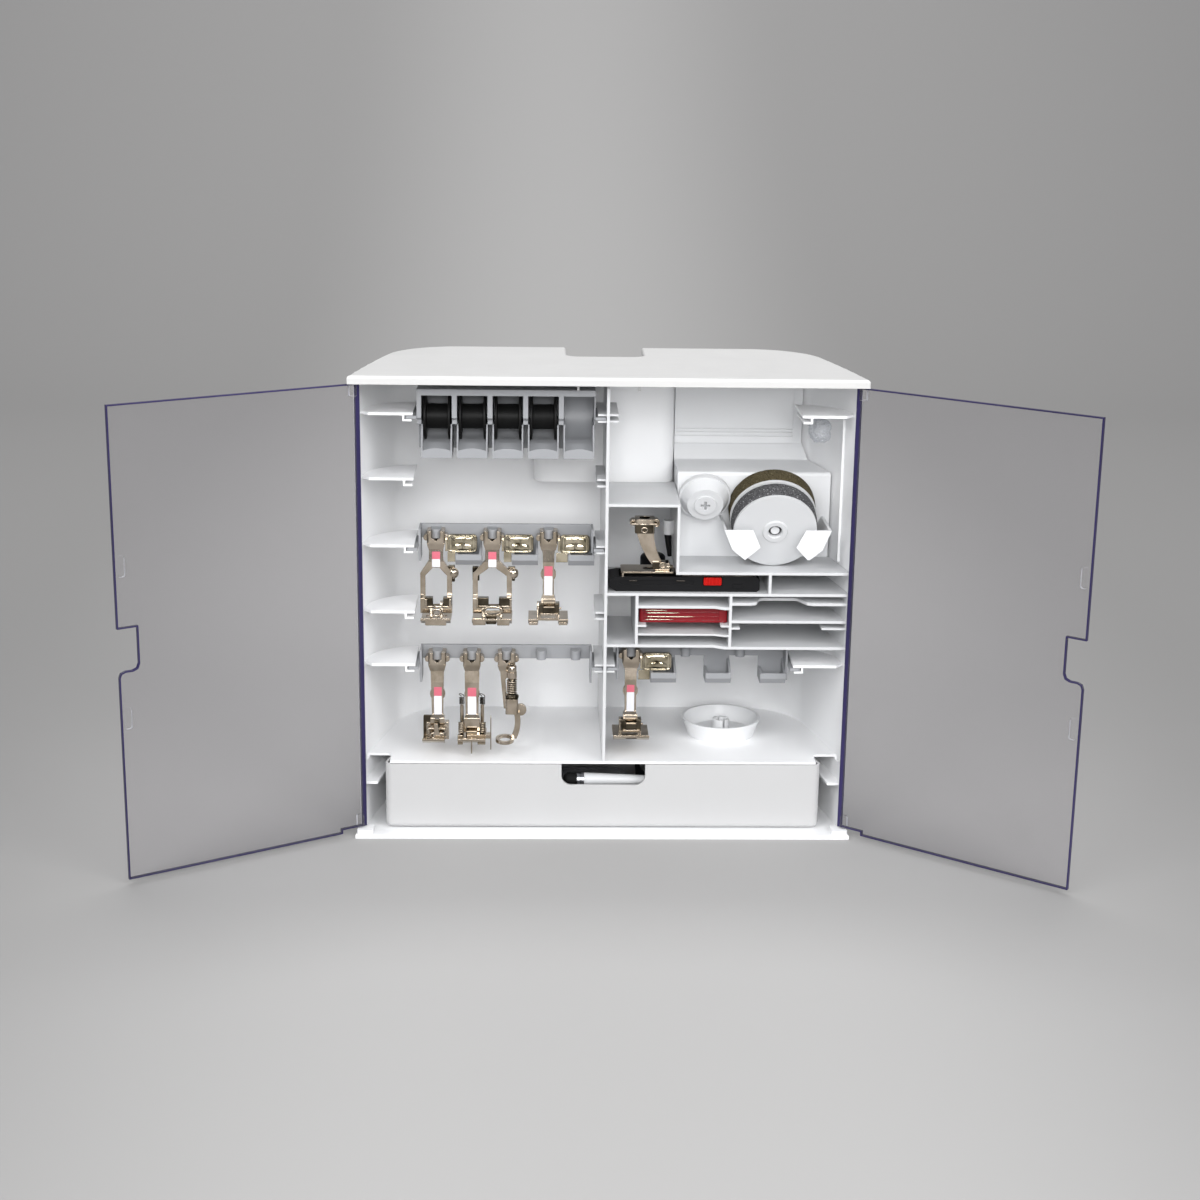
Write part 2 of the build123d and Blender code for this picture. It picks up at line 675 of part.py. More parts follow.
with BuildPart() as olive_foam_pad:
    with BuildSketch(on_stack(STACK_X, STACK_DEPTH, STACK_HEIGHT, olive_start)):
        Circle(25.6)
        Circle(PEG_BORE, mode=Mode.SUBTRACT)
    extrude(amount=PAD_THICKNESS)
    chamfer(edges().filter_by(GeomType.CIRCLE).sort_by(SortBy.RADIUS)[-2:], 0.8)
olive_foam_pad.part.label = "olive_foam_pad"

# Small domed spool cap on the short peg, with a cross recess in its nose
with BuildPart() as small_spool_cap:
    with BuildSketch(on_stack(CAP_X, CAP_DEPTH, CAP_HEIGHT, 0)):
        Circle(CAP_RADIUS)
    extrude(amount=-3.0)
    with BuildSketch(on_stack(CAP_X, CAP_DEPTH, CAP_HEIGHT, -3.0)):
        Circle(CAP_RADIUS - 1.0)
    extrude(amount=-7.0, taper=28)
    with BuildSketch(on_stack(CAP_X, CAP_DEPTH, CAP_HEIGHT, -10.0)):
        Circle(6.6)
    extrude(amount=-1.2, taper=10)
    with BuildSketch(on_stack(CAP_X, CAP_DEPTH, CAP_HEIGHT, -12.0)):
        Rectangle(5.6, 1.6)
        Rectangle(1.6, 5.6)
    extrude(amount=4.0, mode=Mode.SUBTRACT)
    with BuildSketch(on_stack(CAP_X, CAP_DEPTH, CAP_HEIGHT, 0)):
        Circle(PEG_BORE)
    extrude(amount=-7.0, mode=Mode.SUBTRACT)
small_spool_cap.part.label = "small_spool_cap"


# Doors: clear panels that carry their own hinge pins, a finger notch and two catches
NOTCH_TOP = 150.0
NOTCH_BOTTOM = 125.5
NOTCH_REACH = 11.5
CATCH_SPANS = ((92.6, 105.2), (179.4, 191.4))
doors = []
for name, turn, angle in (("left_door", -1, LEFT_DOOR_ANGLE), ("right_door", 1, RIGHT_DOOR_ANGLE)):
    swing = radians(angle)
    along = (-turn * cos(swing), -sin(swing), 0)
    hinge = (turn * HINGE_X, FRONT + HINGE_DEPTH, 0)
    panel_plane = Plane(hinge, x_dir=along, z_dir=(along[1], -along[0], 0))
    # the panel's inner face looks along +Z of its plane on the right door, -Z on the left
    inward = turn
    with BuildPart() as door:
        with BuildSketch(panel_plane):
            with BuildLine():
                Polyline(
                    (-DOOR_TAIL, DOOR_HEEL_BOTTOM), (-DOOR_TAIL, DOOR_TOP), (DOOR_LENGTH, DOOR_TOP),
                    (DOOR_LENGTH, NOTCH_TOP), (DOOR_LENGTH - NOTCH_REACH, NOTCH_TOP),
                    (DOOR_LENGTH - NOTCH_REACH, NOTCH_BOTTOM), (DOOR_LENGTH, NOTCH_BOTTOM),
                    (DOOR_LENGTH, DOOR_BOTTOM), (DOOR_HEEL, DOOR_BOTTOM), (DOOR_HEEL, DOOR_HEEL_BOTTOM),
                    close=True,
                )
            make_face()
            lower = vertices().filter_by_position(Axis.Y, NOTCH_BOTTOM - 1, NOTCH_BOTTOM + 1)
            fillet(lower, 3.5)
            fillet(vertices().filter_by_position(Axis.Y, NOTCH_TOP - 1, NOTCH_TOP + 1).sort_by(Axis.X)[0], 1.5)
        extrude(amount=DOOR_HALF_THICKNESS, both=True)
        for low in (DOOR_HEEL_BOTTOM, DOOR_TOP - KNUCKLE_HEIGHT):
            with BuildSketch(Plane.XY.offset(low)):
                with Locations(hinge[:2]):
                    Circle(KNUCKLE_RADIUS)
            extrude(amount=KNUCKLE_HEIGHT)
        for low, high in ((1.2, DOOR_HEEL_BOTTOM), (DOOR_TOP, LID_UNDERSIDE + 2.8)):
            with BuildSketch(Plane.XY.offset(low)):
                with Locations(hinge[:2]):
                    Circle(HINGE_PIN_RADIUS)
            extrude(amount=high - low)
        for low, high in CATCH_SPANS:
            with BuildSketch(panel_plane.offset(inward * DOOR_HALF_THICKNESS)):
                with Locations((DOOR_LENGTH - 3.4, (low + high) / 2)):
                    RectangleRounded(4.4, high - low, 1.6)
            extrude(amount=inward * 1.6)
    door.part.label = name
    doors.append(door.part)


def drawer_plan(inset):
    """Plan of the drawer, which narrows to the back faster than the cabinet does."""
    return bowed_plan(
        DRAWER_HALF_WIDTH - inset,
        FRONT + DRAWER_START + inset,
        DRAWER_CORNER_X,
        FRONT + DRAWER_START + DRAWER_CORNER_DEPTH,
        DRAWER_CORNER_RADIUS - inset,
        DRAWER_BLEND,
        DRAWER_CORNER - inset,
    )


# Drawer: a bowed tray with one cross wall and a finger scoop in its front
with BuildPart() as drawer:
    with BuildSketch(Plane.XY.offset(DRAWER_BOTTOM)):
        add(drawer_plan(0))
    extrude(amount=DRAWER_RIM - DRAWER_BOTTOM)
    fillet(edges().group_by(Axis.Z)[0], 3.5)
    with BuildSketch(Plane.XY.offset(DRAWER_BOTTOM + DRAWER_WALL)):
        add(drawer_plan(DRAWER_WALL))
        with Locations((DRAWER_SPLIT, FRONT + 50)):
            Rectangle(1.4, 120, mode=Mode.SUBTRACT)
    extrude(amount=DRAWER_RIM, mode=Mode.SUBTRACT)
    with BuildSketch(depth(-1)):
        with Locations((0, (DRAWER_RIM + 6 + SCOOP_BOTTOM) / 2)):
            Rectangle(2 * SCOOP_HALF_WIDTH, DRAWER_RIM + 6 - SCOOP_BOTTOM)
        fillet(vertices().group_by(Axis.Y)[0], 6)
    extrude(amount=-6, mode=Mode.SUBTRACT)
drawer.part.label = "drawer"


# Bobbin rack: five cells under a top bar, each a trough with a finger scoop in front
cell_centres = [FIRST_CELL + i * CELL_PITCH for i in range(5)]


def rack_ears(rail_top, left, right, left_reach, right_reach):
    """Tongues at both ends of a rack, in the middle of the rail channels."""
    top = rail_top - RAIL_THICKNESS - EAR_GAP
    with BuildSketch(Plane.XY.offset(top - EAR_THICKNESS)) as ears:
        for inner, outer in ((left, left - left_reach), (right, right + right_reach)):
            with Locations(((inner + outer) / 2, FRONT + RAIL_START + RAIL_LENGTH / 2 - 4)):
                Rectangle(abs(outer - inner), RAIL_LENGTH - 8)
    return ears.sketch


with BuildPart() as bobbin_rack:
    with BuildSketch(side(RACK_LEFT)):
        with BuildLine():
            Polyline(
                (FRONT + BAR_FRONT, RACK_TOP), (FRONT + 34, RACK_TOP), (FRONT + 36, 244.0),
                (FRONT + 30, 233.0), (FRONT + 22, RACK_FOOT), (FRONT + SCOOP_FRONT, RACK_FOOT),
                (FRONT + SCOOP_FRONT, 240.0), (FRONT + 6.5, 247.0), (FRONT + 6.5, BAR_FOOT - 1.5),
                (FRONT + BAR_FRONT, BAR_FOOT),
                close=True,
            )
        make_face()
    extrude(amount=RACK_RIGHT - RACK_LEFT)
    seat = (FRONT + BOBBIN_DEPTH, BOBBIN_HEIGHT - BOBBIN_RADIUS - 0.05 + TROUGH_RADIUS)
    for x in cell_centres:
        # round trough, open to the front behind the lip
        with BuildSketch(side(x)):
            with Locations(seat):
                Circle(TROUGH_RADIUS)
            with BuildLine():
                Polyline(
                    (FRONT + 3.2, 266.0), (seat[0], 266.0), (seat[0], seat[1] - TROUGH_RADIUS),
                    (FRONT + 12.0, 237.2), (FRONT + 3.2, LIP_END),
                    close=True,
                )
            make_face()
        extrude(amount=SCOOP_WIDTH / 2, both=True, mode=Mode.SUBTRACT)
        # wider cell above the scoops
        with BuildSketch(side(x)):
            with Locations(seat):
                Circle(TROUGH_RADIUS)
            with Locations((FRONT + BOBBIN_DEPTH / 2, 250.0)):
                Rectangle(BOBBIN_DEPTH, 32.0)
            with Locations((FRONT + BOBBIN_DEPTH, SCOOP_SPLIT_TOP - 20)):
                Rectangle(60, 40, mode=Mode.SUBTRACT)
        extrude(amount=CELL_WIDTH / 2, both=True, mode=Mode.SUBTRACT)
        # the front lip is crowned
        with BuildSketch(depth(0)):
            reach = SCOOP_WIDTH / 2
            with BuildLine():
                Polyline((x - reach, LIP_END), (x - reach, 266.0), (x + reach, 266.0), (x + reach, LIP_END))
                ThreePointArc((x + reach, LIP_END), (x, LIP_CROWN), (x - reach, LIP_END))
            make_face()
        extrude(amount=-4, mode=Mode.SUBTRACT)
    # gaps between the scoops, and at both ends
    gap = CELL_PITCH - SCOOP_WIDTH - 2 * SCOOP_WALL
    with BuildSketch(Plane.XY.offset(RACK_FOOT - 1)):
        with Locations(*[(FIRST_CELL + (i - 0.5) * CELL_PITCH, FRONT + 12.5) for i in range(6)]):
            Rectangle(gap, 27.0)
    extrude(amount=SCOOP_SPLIT_TOP - RACK_FOOT + 1, mode=Mode.SUBTRACT)
    ear_top = LEFT_RAIL_TOPS[0] - RAIL_THICKNESS - EAR_GAP
    with BuildSketch(Plane.XY.offset(ear_top - EAR_THICKNESS)):
        add(rack_ears(LEFT_RAIL_TOPS[0], RACK_LEFT, RACK_RIGHT, 6.2, 6.0))
    extrude(amount=EAR_THICKNESS)
bobbin_rack.part.label = "bobbin_rack"

# Four bobbins, each a hub between two flanges
bobbins = []
for i, x in enumerate(cell_centres[:4]):
    half = BOBBIN_HALF_WIDTH
    with BuildPart() as bobbin:
        with BuildSketch(Plane((x, FRONT + BOBBIN_DEPTH, BOBBIN_HEIGHT), x_dir=(1, 0, 0), z_dir=(0, -1, 0))):
            with BuildLine():
                Polyline(
                    (-half, 3.2), (-half, BOBBIN_RADIUS), (-half + 1.2, BOBBIN_RADIUS), (-half + 1.6, 7.2),
                    (half - 1.6, 7.2), (half - 1.2, BOBBIN_RADIUS), (half, BOBBIN_RADIUS), (half, 3.2),
                    close=True,
                )
            make_face()
        revolve(axis=Axis((x, FRONT + BOBBIN_DEPTH, BOBBIN_HEIGHT), (1, 0, 0)))
    bobbin.part.label = f"bobbin_{i + 1}"
    bobbins.append(bobbin.part)


# Presser foot racks: a back plate between two cheeks, with a tongue and peg for each foot
middle_pegs = [-100.4 + i * WIDE_PITCH for i in range(3)]
lower_pegs = [-100.2 + i * NARROW_PITCH for i in range(5)]
right_pegs = [16.3 + i * RIGHT_PITCH for i in range(3)]
racks = []
for name, rail, left, right, left_reach, right_reach, pegs, wide in (
    ("wide_foot_rack", MIDDLE_RAIL, -110.4, -7.4, 6.0, 6.0, middle_pegs, True),
    ("narrow_foot_rack", NARROW_RAIL, -110.4, -7.4, 6.0, 6.0, lower_pegs, False),
    ("right_foot_rack", LOWER_RAIL, 7.4, 110.4, 6.0, 6.0, right_pegs, True),
):
    with BuildPart() as rack:
        with BuildSketch(depth(RACK_PLATE_FRONT)):
            with Locations(((left + right) / 2, rail + (RACK_PLATE_TOP - RACK_PLATE_FOOT) / 2)):
                Rectangle(right - left, RACK_PLATE_TOP + RACK_PLATE_FOOT)
        extrude(amount=RACK_PLATE_FRONT - RACK_PLATE_BACK)
        for x in (left, right - CHEEK_THICKNESS):
            with BuildSketch(side(x)):
                with BuildLine():
                    Polyline(
                        (FRONT + CHEEK_DEPTH, rail + RACK_PLATE_TOP),
                        (FRONT + RACK_PLATE_BACK, rail + RACK_PLATE_TOP),
                        (FRONT + RACK_PLATE_BACK, rail - CHEEK_DROP),
                        (FRONT + CHEEK_DEPTH, rail - CHEEK_DROP),
                        close=True,
                    )
                make_face()
            extrude(amount=CHEEK_THICKNESS)
        for x in pegs:
            # tongue that reaches forward from the plate, round-nosed, with the peg under it
            with BuildSketch(Plane.XY.offset(rail + TONGUE_UNDERSIDE)):
                with Locations((x, FRONT + PEG_DEPTH)):
                    Circle(TONGUE_HALF_WIDTH)
                with Locations((x, FRONT + (PEG_DEPTH + RACK_PLATE_BACK) / 2)):
                    Rectangle(2 * TONGUE_HALF_WIDTH, RACK_PLATE_BACK - PEG_DEPTH)
            extrude(amount=TONGUE_TOP - TONGUE_UNDERSIDE)
            with BuildSketch(Plane.XY.offset(rail + PEG_TIP)):
                with Locations((x, FRONT + PEG_DEPTH)):
                    Circle(PEG_RADIUS)
            extrude(amount=TONGUE_UNDERSIDE - PEG_TIP + 0.5)
            if wide:
                # open bin under the coding plate, with a bevelled front and a back up to the plate
                bin_left = x + POCKET_SHIFT - POCKET_WIDTH / 2
                with BuildSketch(side(bin_left)):
                    with BuildLine():
                        Polyline(
                            (FRONT + POCKET_FRONT, rail + POCKET_TOP),
                            (FRONT + POCKET_FRONT, rail + POCKET_FOOT + 3.4),
                            (FRONT + POCKET_FRONT + 2.8, rail + POCKET_FOOT),
                            (FRONT + RACK_PLATE_BACK, rail + POCKET_FOOT),
                            (FRONT + RACK_PLATE_BACK, rail - RACK_PLATE_FOOT),
                            (FRONT + RACK_PLATE_FRONT, rail - RACK_PLATE_FOOT),
                            (FRONT + RACK_PLATE_FRONT, rail + POCKET_TOP),
                            close=True,
                        )
                    make_face()
                extrude(amount=POCKET_WIDTH)
                with BuildSketch(side(bin_left + POCKET_WALL)):
                    with BuildLine():
                        Polyline(
                            (FRONT + POCKET_FRONT + POCKET_WALL, rail + POCKET_TOP + 1),
                            (FRONT + POCKET_FRONT + POCKET_WALL, rail + POCKET_FOOT + 4.0),
                            (FRONT + POCKET_FRONT + 3.5, rail + POCKET_FOOT + POCKET_WALL),
                            (FRONT + RACK_PLATE_FRONT, rail + POCKET_FOOT + POCKET_WALL),
                            (FRONT + RACK_PLATE_FRONT, rail + POCKET_TOP + 1),
                            close=True,
                        )
                    make_face()
                extrude(amount=POCKET_WIDTH - 2 * POCKET_WALL, mode=Mode.SUBTRACT)
                # fin that slopes down along the bin's right wall
                with BuildSketch(side(bin_left + POCKET_WIDTH - POCKET_WALL)):
                    with BuildLine():
                        Polyline(
                            (FRONT + POCKET_FRONT, rail + POCKET_TOP),
                            (FRONT + RACK_PLATE_BACK, rail - RACK_PLATE_FOOT - 1.0),
                            (FRONT + RACK_PLATE_BACK, rail + POCKET_TOP - 1),
                            (FRONT + POCKET_FRONT, rail + POCKET_TOP - 1),
                            close=True,
                        )
                    make_face()
                extrude(amount=POCKET_WALL)
        ear_rail = LOWER_RAIL if rail == NARROW_RAIL else rail
        with BuildSketch(Plane.XY.offset(ear_rail - RAIL_THICKNESS - EAR_GAP - EAR_THICKNESS)):
            add(rack_ears(ear_rail, left, right, left_reach, right_reach))
        extrude(amount=EAR_THICKNESS)
    rack.part.label = name
    racks.append(rack.part)


def head_clamp(x, rail):
    """Clamp head of a presser foot: a tapered collar with lugs, bored for the rack's peg."""
    y = FRONT + PEG_DEPTH
    with BuildPart() as head:
        with BuildSketch(Plane.XY.offset(rail - HEAD_DROP)):
            with Locations((x, y - 0.5)):
                Rectangle(HEAD_WIDTH - 2.0, HEAD_LENGTH - 2.0)
        with BuildSketch(Plane.XY.offset(rail - HEAD_SHOULDER)):
            with Locations((x, y - 0.5)):
                Rectangle(HEAD_WIDTH, HEAD_LENGTH)
        loft(ruled=True)
        with BuildSketch(Plane.XY.offset(rail - HEAD_SHOULDER)):
            with Locations((x, y - 0.5)):
                RectangleRounded(HEAD_WIDTH, HEAD_LENGTH, 1.2)
        extrude(amount=HEAD_SHOULDER + HEAD_RISE)
        with BuildSketch(depth(PEG_DEPTH - 3.0)):
            with Locations((x, rail + LUG_HEIGHT)):
                SlotOverall(15.0, 3.8)
        extrude(amount=-6.0)
        with Locations((x, y, rail + HEAD_RISE)):
            Hole(PEG_RADIUS + 0.1, depth=HEAD_RISE + HEAD_BORE_FLOOR)
        # slot between the jaws for the rack's tongue
        with BuildSketch(Plane.XY.offset(rail + HEAD_SLOT_FLOOR)):
            with Locations((x, y + 5.0)):
                Rectangle(2 * TONGUE_HALF_WIDTH + 0.1, 10.0)
        extrude(amount=HEAD_RISE, mode=Mode.SUBTRACT)
        # open front, where the peg's tip shows
        with BuildSketch(depth(PEG_DEPTH - 12)):
            with BuildLine():
                Polyline(
                    (x - 2.6, rail + HEAD_RISE + 1), (x + 2.6, rail + HEAD_RISE + 1),
                    (x + 2.6, rail + 0.6), (x, rail - HEAD_BORE_FLOOR), (x - 2.6, rail + 0.6),
                    close=True,
                )
            make_face()
        extrude(amount=-12, mode=Mode.SUBTRACT)
    return head.part


def shank_side(rail):
    """Side outline that the flat shanks share: down from the head, then a step to the hinge."""
    base = FRONT + PEG_DEPTH - 3.5
    thick = SHANK_THICKNESS
    with BuildSketch() as outline:
        with BuildLine():
            Polyline(
                (base, rail - HEAD_DROP + 3), (base - 1.2, rail - 14), (base - 1.2, rail - 34),
                (base - 3.0, rail - 36), (base - 3.0, rail - HINGE_BLOCK_DROP),
                (base + 5.5, rail - HINGE_BLOCK_DROP), (base + 5.5, rail - 38),
                (base + thick - 1.2, rail - 34), (base + thick - 1.2, rail - 14),
                (base + thick + 1.0, rail - HEAD_DROP + 3),
                close=True,
            )
        make_face()
    return outline.sketch


def half_outline(points, x, rail):
    """Mirrored front outline from its right half, counted from the peg and the rail."""
    right = [(x + px, rail + pz) for px, pz in points]
    left = [(x - px, rail + pz) for px, pz in reversed(points)]
    with BuildSketch() as outline:
        with BuildLine():
            Polyline(*right, *left, close=True)
        make_face()
    return outline.sketch


def flat_sole(x, rail, half, start, end):
    """Sole plate with turned-up toe, from start to end behind the front edges."""
    low = rail - FOOT_DROP
    with BuildPart() as plate:
        with BuildSketch(side(x - half)):
            with BuildLine():
                Polyline(
                    (FRONT + start, low + 2.6), (FRONT + start + 4.5, low),
                    (FRONT + end, low), (FRONT + end, low + SOLE_THICKNESS),
                    (FRONT + start + 5.0, low + SOLE_THICKNESS), (FRONT + start, low + 4.0),
                    close=True,
                )
            make_face()
        extrude(amount=2 * half)
    return plate.part


# Presser feet. Each has a shank on its peg and a sole that swings in the hinge block.
shanks = []
soles = []
coding_plates = []

# Feet with two arms: the arms leave the neck, run down and end in hinge blocks
for name, x, arm, web, sole_half in (
    ("two_arm_narrow", middle_pegs[0], 9.4, 3.0, 8.8),
    ("two_arm_wide", middle_pegs[1], 11.6, 3.0, 11.8),
):
    rail = MIDDLE_RAIL
    with BuildPart() as shank:
        outline = [
            (4.2, -5.0), (4.2, -13.0), (arm, -21.0), (arm, -HINGE_BLOCK_DROP),
            (arm - 5.4, -HINGE_BLOCK_DROP), (arm - 5.4, -36.5), (arm - web, -36.5),
            (arm - web, -22.5), (2.0, -17.6),
        ]
        with BuildSketch(depth(0)):
            add(half_outline(outline, x, rail))
        extrude(amount=-40)
        with BuildSketch(side(x - 30)):
            add(shank_side(rail))
        extrude(amount=60, mode=Mode.INTERSECT)
        with BuildSketch(side(x - 30)):
            with Locations((FRONT + PEG_DEPTH - 3.0, rail - HINGE_BLOCK_DROP + 3.4)):
                Circle(1.45)
        extrude(amount=60, mode=Mode.SUBTRACT)
        add(head_clamp(x, rail))
        # thumb screw at the side of the right arm
        with BuildSketch(depth(PEG_DEPTH - 2.5)):
            with Locations((x + arm + 0.6, rail - 21.5)):
                Circle(3.3)
        extrude(amount=-1.8)
    shank.part.label = f"{name}_foot_shank"
    shanks.append(shank.part)
    low = rail - FOOT_DROP
    with BuildPart() as sole:
        # hinge posts between the blocks, joined by the pin
        with BuildSketch(side(x - arm + 5.7)):
            with BuildLine():
                Polyline(
                    (FRONT + PEG_DEPTH - 7.5, low + 0.5), (FRONT + PEG_DEPTH - 5.5, low + 10.6),
                    (FRONT + PEG_DEPTH - 0.5, low + 10.6), (FRONT + PEG_DEPTH + 4.0, low + 0.5),
                    close=True,
                )
            make_face()
        extrude(amount=2 * arm - 11.4)
        with BuildSketch(Plane.XY.offset(low - 1)):
            with Locations((x, FRONT + PEG_DEPTH - 3)):
                Rectangle(2 * arm - 14.4, 30)
        extrude(amount=30, mode=Mode.SUBTRACT)
        with BuildSketch(side(x - arm + 0.9)):
            with Locations((FRONT + PEG_DEPTH - 3.0, rail - HINGE_BLOCK_DROP + 3.4)):
                Circle(1.4)
        extrude(amount=2 * arm - 1.8)
        add(flat_sole(x, rail, sole_half, 5.0, 33.0))
        # cross-shaped needle area: two slots ahead and behind the centre bar
        for d in (8.4, 17.6):
            with BuildSketch(Plane.XY.offset(low - 1)):
                with Locations((x - 3.6, FRONT + d + 2.2), (x + 3.6, FRONT + d + 2.2)):
                    RectangleRounded(5.4, 4.6, 1.6)
            extrude(amount=5, mode=Mode.SUBTRACT)
        # lengthwise guide ribs
        with BuildSketch(depth(11.0)):
            with Locations((x, low + 1.9)):
                Rectangle(1.5, 1.8)
        extrude(amount=-14)
    sole.part.label = f"{name}_foot_sole"
    soles.append(sole.part)

# Feet with one flat shank
for name, x, rail, half_top, half_low, sole_half, sole_shift, opening in (
    ("open_toe", middle_pegs[2], MIDDLE_RAIL, 3.4, 3.3, 11.8, 0.0, 5.9),
    ("overlock", lower_pegs[0], NARROW_RAIL, 3.9, 3.4, 6.7, -2.0, 0.0),
    ("blind_stitch", lower_pegs[1], NARROW_RAIL, 4.4, 3.8, 8.4, 0.0, 0.0),
    ("zigzag", right_pegs[0], LOWER_RAIL, 3.6, 3.4, 10.8, 0.4, 0.0),
):
    with BuildPart() as shank:
        outline = [
            (4.2, -5.0), (half_top, -9.0), (half_low, -34.0), (half_low + 0.9, -36.0),
            (half_low + 0.9, -HINGE_BLOCK_DROP),
        ]
        with BuildSketch(depth(0)):
            add(half_outline(outline, x, rail))
        extrude(amount=-40)
        with BuildSketch(side(x - 30)):
            add(shank_side(rail))
        extrude(amount=60, mode=Mode.INTERSECT)
        with BuildSketch(side(x - 30)):
            with Locations((FRONT + PEG_DEPTH - 3.0, rail - HINGE_BLOCK_DROP + 3.4)):
                Circle(1.45)
        extrude(amount=60, mode=Mode.SUBTRACT)
        add(head_clamp(x, rail))
        # thumb screw behind the shank
        with BuildSketch(depth(PEG_DEPTH - 2.4)):
            with Locations((x, rail - 21.7)):
                Circle(4.6)
        extrude(amount=-1.8)
    shank.part.label = f"{name}_foot_shank"
    shanks.append(shank.part)
    low = rail - FOOT_DROP
    with BuildPart() as sole:
        # two cheeks beside the hinge block, on a pin
        with BuildSketch(side(x - half_low - 3.4)):
            with BuildLine():
                Polyline(
                    (FRONT + PEG_DEPTH - 7.5, low + 0.5), (FRONT + PEG_DEPTH - 5.5, low + 10.6),
                    (FRONT + PEG_DEPTH - 0.5, low + 10.6), (FRONT + PEG_DEPTH + 4.0, low + 0.5),
                    close=True,
                )
            make_face()
        extrude(amount=2 * half_low + 6.8)
        with BuildSketch(Plane.XY.offset(low - 1)):
            with Locations((x, FRONT + PEG_DEPTH - 3)):
                Rectangle(2 * half_low + 2.2, 30)
        extrude(amount=30, mode=Mode.SUBTRACT)
        with BuildSketch(side(x - half_low - 3.0)):
            with Locations((FRONT + PEG_DEPTH - 3.0, rail - HINGE_BLOCK_DROP + 3.4)):
                Circle(1.4)
        extrude(amount=2 * half_low + 6.0)
        add(flat_sole(x + sole_shift, rail, sole_half, 5.0, 33.0))
        if opening:
            # open toe
            with BuildSketch(Plane.XY.offset(low - 1)):
                with Locations((x, FRONT + 9.0)):
                    Rectangle(2 * opening, 14.0)
            extrude(amount=8, mode=Mode.SUBTRACT)
        else:
            # needle slot across the sole
            with BuildSketch(Plane.XY.offset(low - 1)):
                with Locations((x, FRONT + 10.2)):
                    SlotOverall(8.6, 3.0)
            extrude(amount=5, mode=Mode.SUBTRACT)
        if name == "overlock":
            # stitch finger and the raised hook on the right
            with BuildSketch(depth(8.0)):
                with BuildLine():
                    Polyline(
                        (x - 1.6, low + 1.0), (x - 1.6, low + 12.5), (x + 0.6, low + 12.5),
                        (x + 1.4, low + 5.0), (x + 4.4, low + 4.2), (x + 4.4, low + 1.0),
                        close=True,
                    )
                make_face()
            extrude(amount=-1.2)
        if name == "blind_stitch":
            # guide plate on the right, with its thin upright blade
            with BuildSketch(depth(9.0)):
                with BuildLine():
                    Polyline(
                        (x + 2.0, low + 2.9), (x + 11.2, low + 2.9), (x + 11.2, low - 4.1),
                        (x + 11.8, low - 4.1), (x + 11.8, low + 16.0), (x + 11.2, low + 16.0),
                        (x + 11.2, low + 5.2), (x + 2.0, low + 5.2),
                        close=True,
                    )
                make_face()
            extrude(amount=-5.0)
            with BuildSketch(depth(5.6)):
                with Locations((x, low - 1.2)):
                    Rectangle(0.7, 8.6)
            extrude(amount=-9.0)
            with BuildSketch(depth(8.4)):
                with Locations((x + 0.2, low + 3.2)):
                    Rectangle(6.0, 4.2)
            extrude(amount=-7.0)
            # two small hair springs beside the shank, on the cheeks
            with BuildSketch(Plane.XY.offset(low + 9.0)):
                with Locations((x - 6.2, FRONT + PEG_DEPTH - 3.0), (x + 6.2, FRONT + PEG_DEPTH - 3.0)):
                    Circle(1.1)
            extrude(amount=12.0)
    sole.part.label = f"{name}_foot_sole"
    soles.append(sole.part)

# Coding plate of each wide foot: a lens frame beside the head, with the arm that carries it
for name, x, rail, arm_start in (
    ("two_arm_narrow", middle_pegs[0], MIDDLE_RAIL, 6.8),
    ("two_arm_wide", middle_pegs[1], MIDDLE_RAIL, 6.8),
    ("open_toe", middle_pegs[2], MIDDLE_RAIL, 4.5),
    ("zigzag", right_pegs[0], LOWER_RAIL, 4.5),
):
    with BuildPart() as plate:
        with BuildSketch(depth(CODING_DEPTH)):
            with Locations((x + 15.6, rail + CODING_HEIGHT)):
                RectangleRounded(17.4, 11.0, 2.2)
            with Locations((x + 7.6, rail + CODING_HEIGHT - 1.2)):
                Rectangle(4.2, 7.0)
            with Locations((x + (arm_start + 11.4) / 2, rail + CODING_HEIGHT - 8.4)):
                Rectangle(11.4 - arm_start, 5.6)
            with Locations((x + 8.6, rail + CODING_HEIGHT - 5.3)):
                Rectangle(3.0, 3.6)
        extrude(amount=-1.6)
        # four lens bumps stand out of a shallow recess
        with BuildSketch(depth(CODING_DEPTH)):
            with Locations((x + 16.2, rail + CODING_HEIGHT)):
                RectangleRounded(14.2, 8.6, 1.6)
        extrude(amount=-0.6, mode=Mode.SUBTRACT)
        with BuildSketch(depth(CODING_DEPTH + 0.6)):
            with Locations((x + 16.2, rail + CODING_HEIGHT)):
                with GridLocations(6.8, 4.2, 2, 2):
                    RectangleRounded(5.6, 3.4, 1.2)
        extrude(amount=0.9)
    plate.part.label = f"{name}_coding_plate"
    coding_plates.append(plate.part)

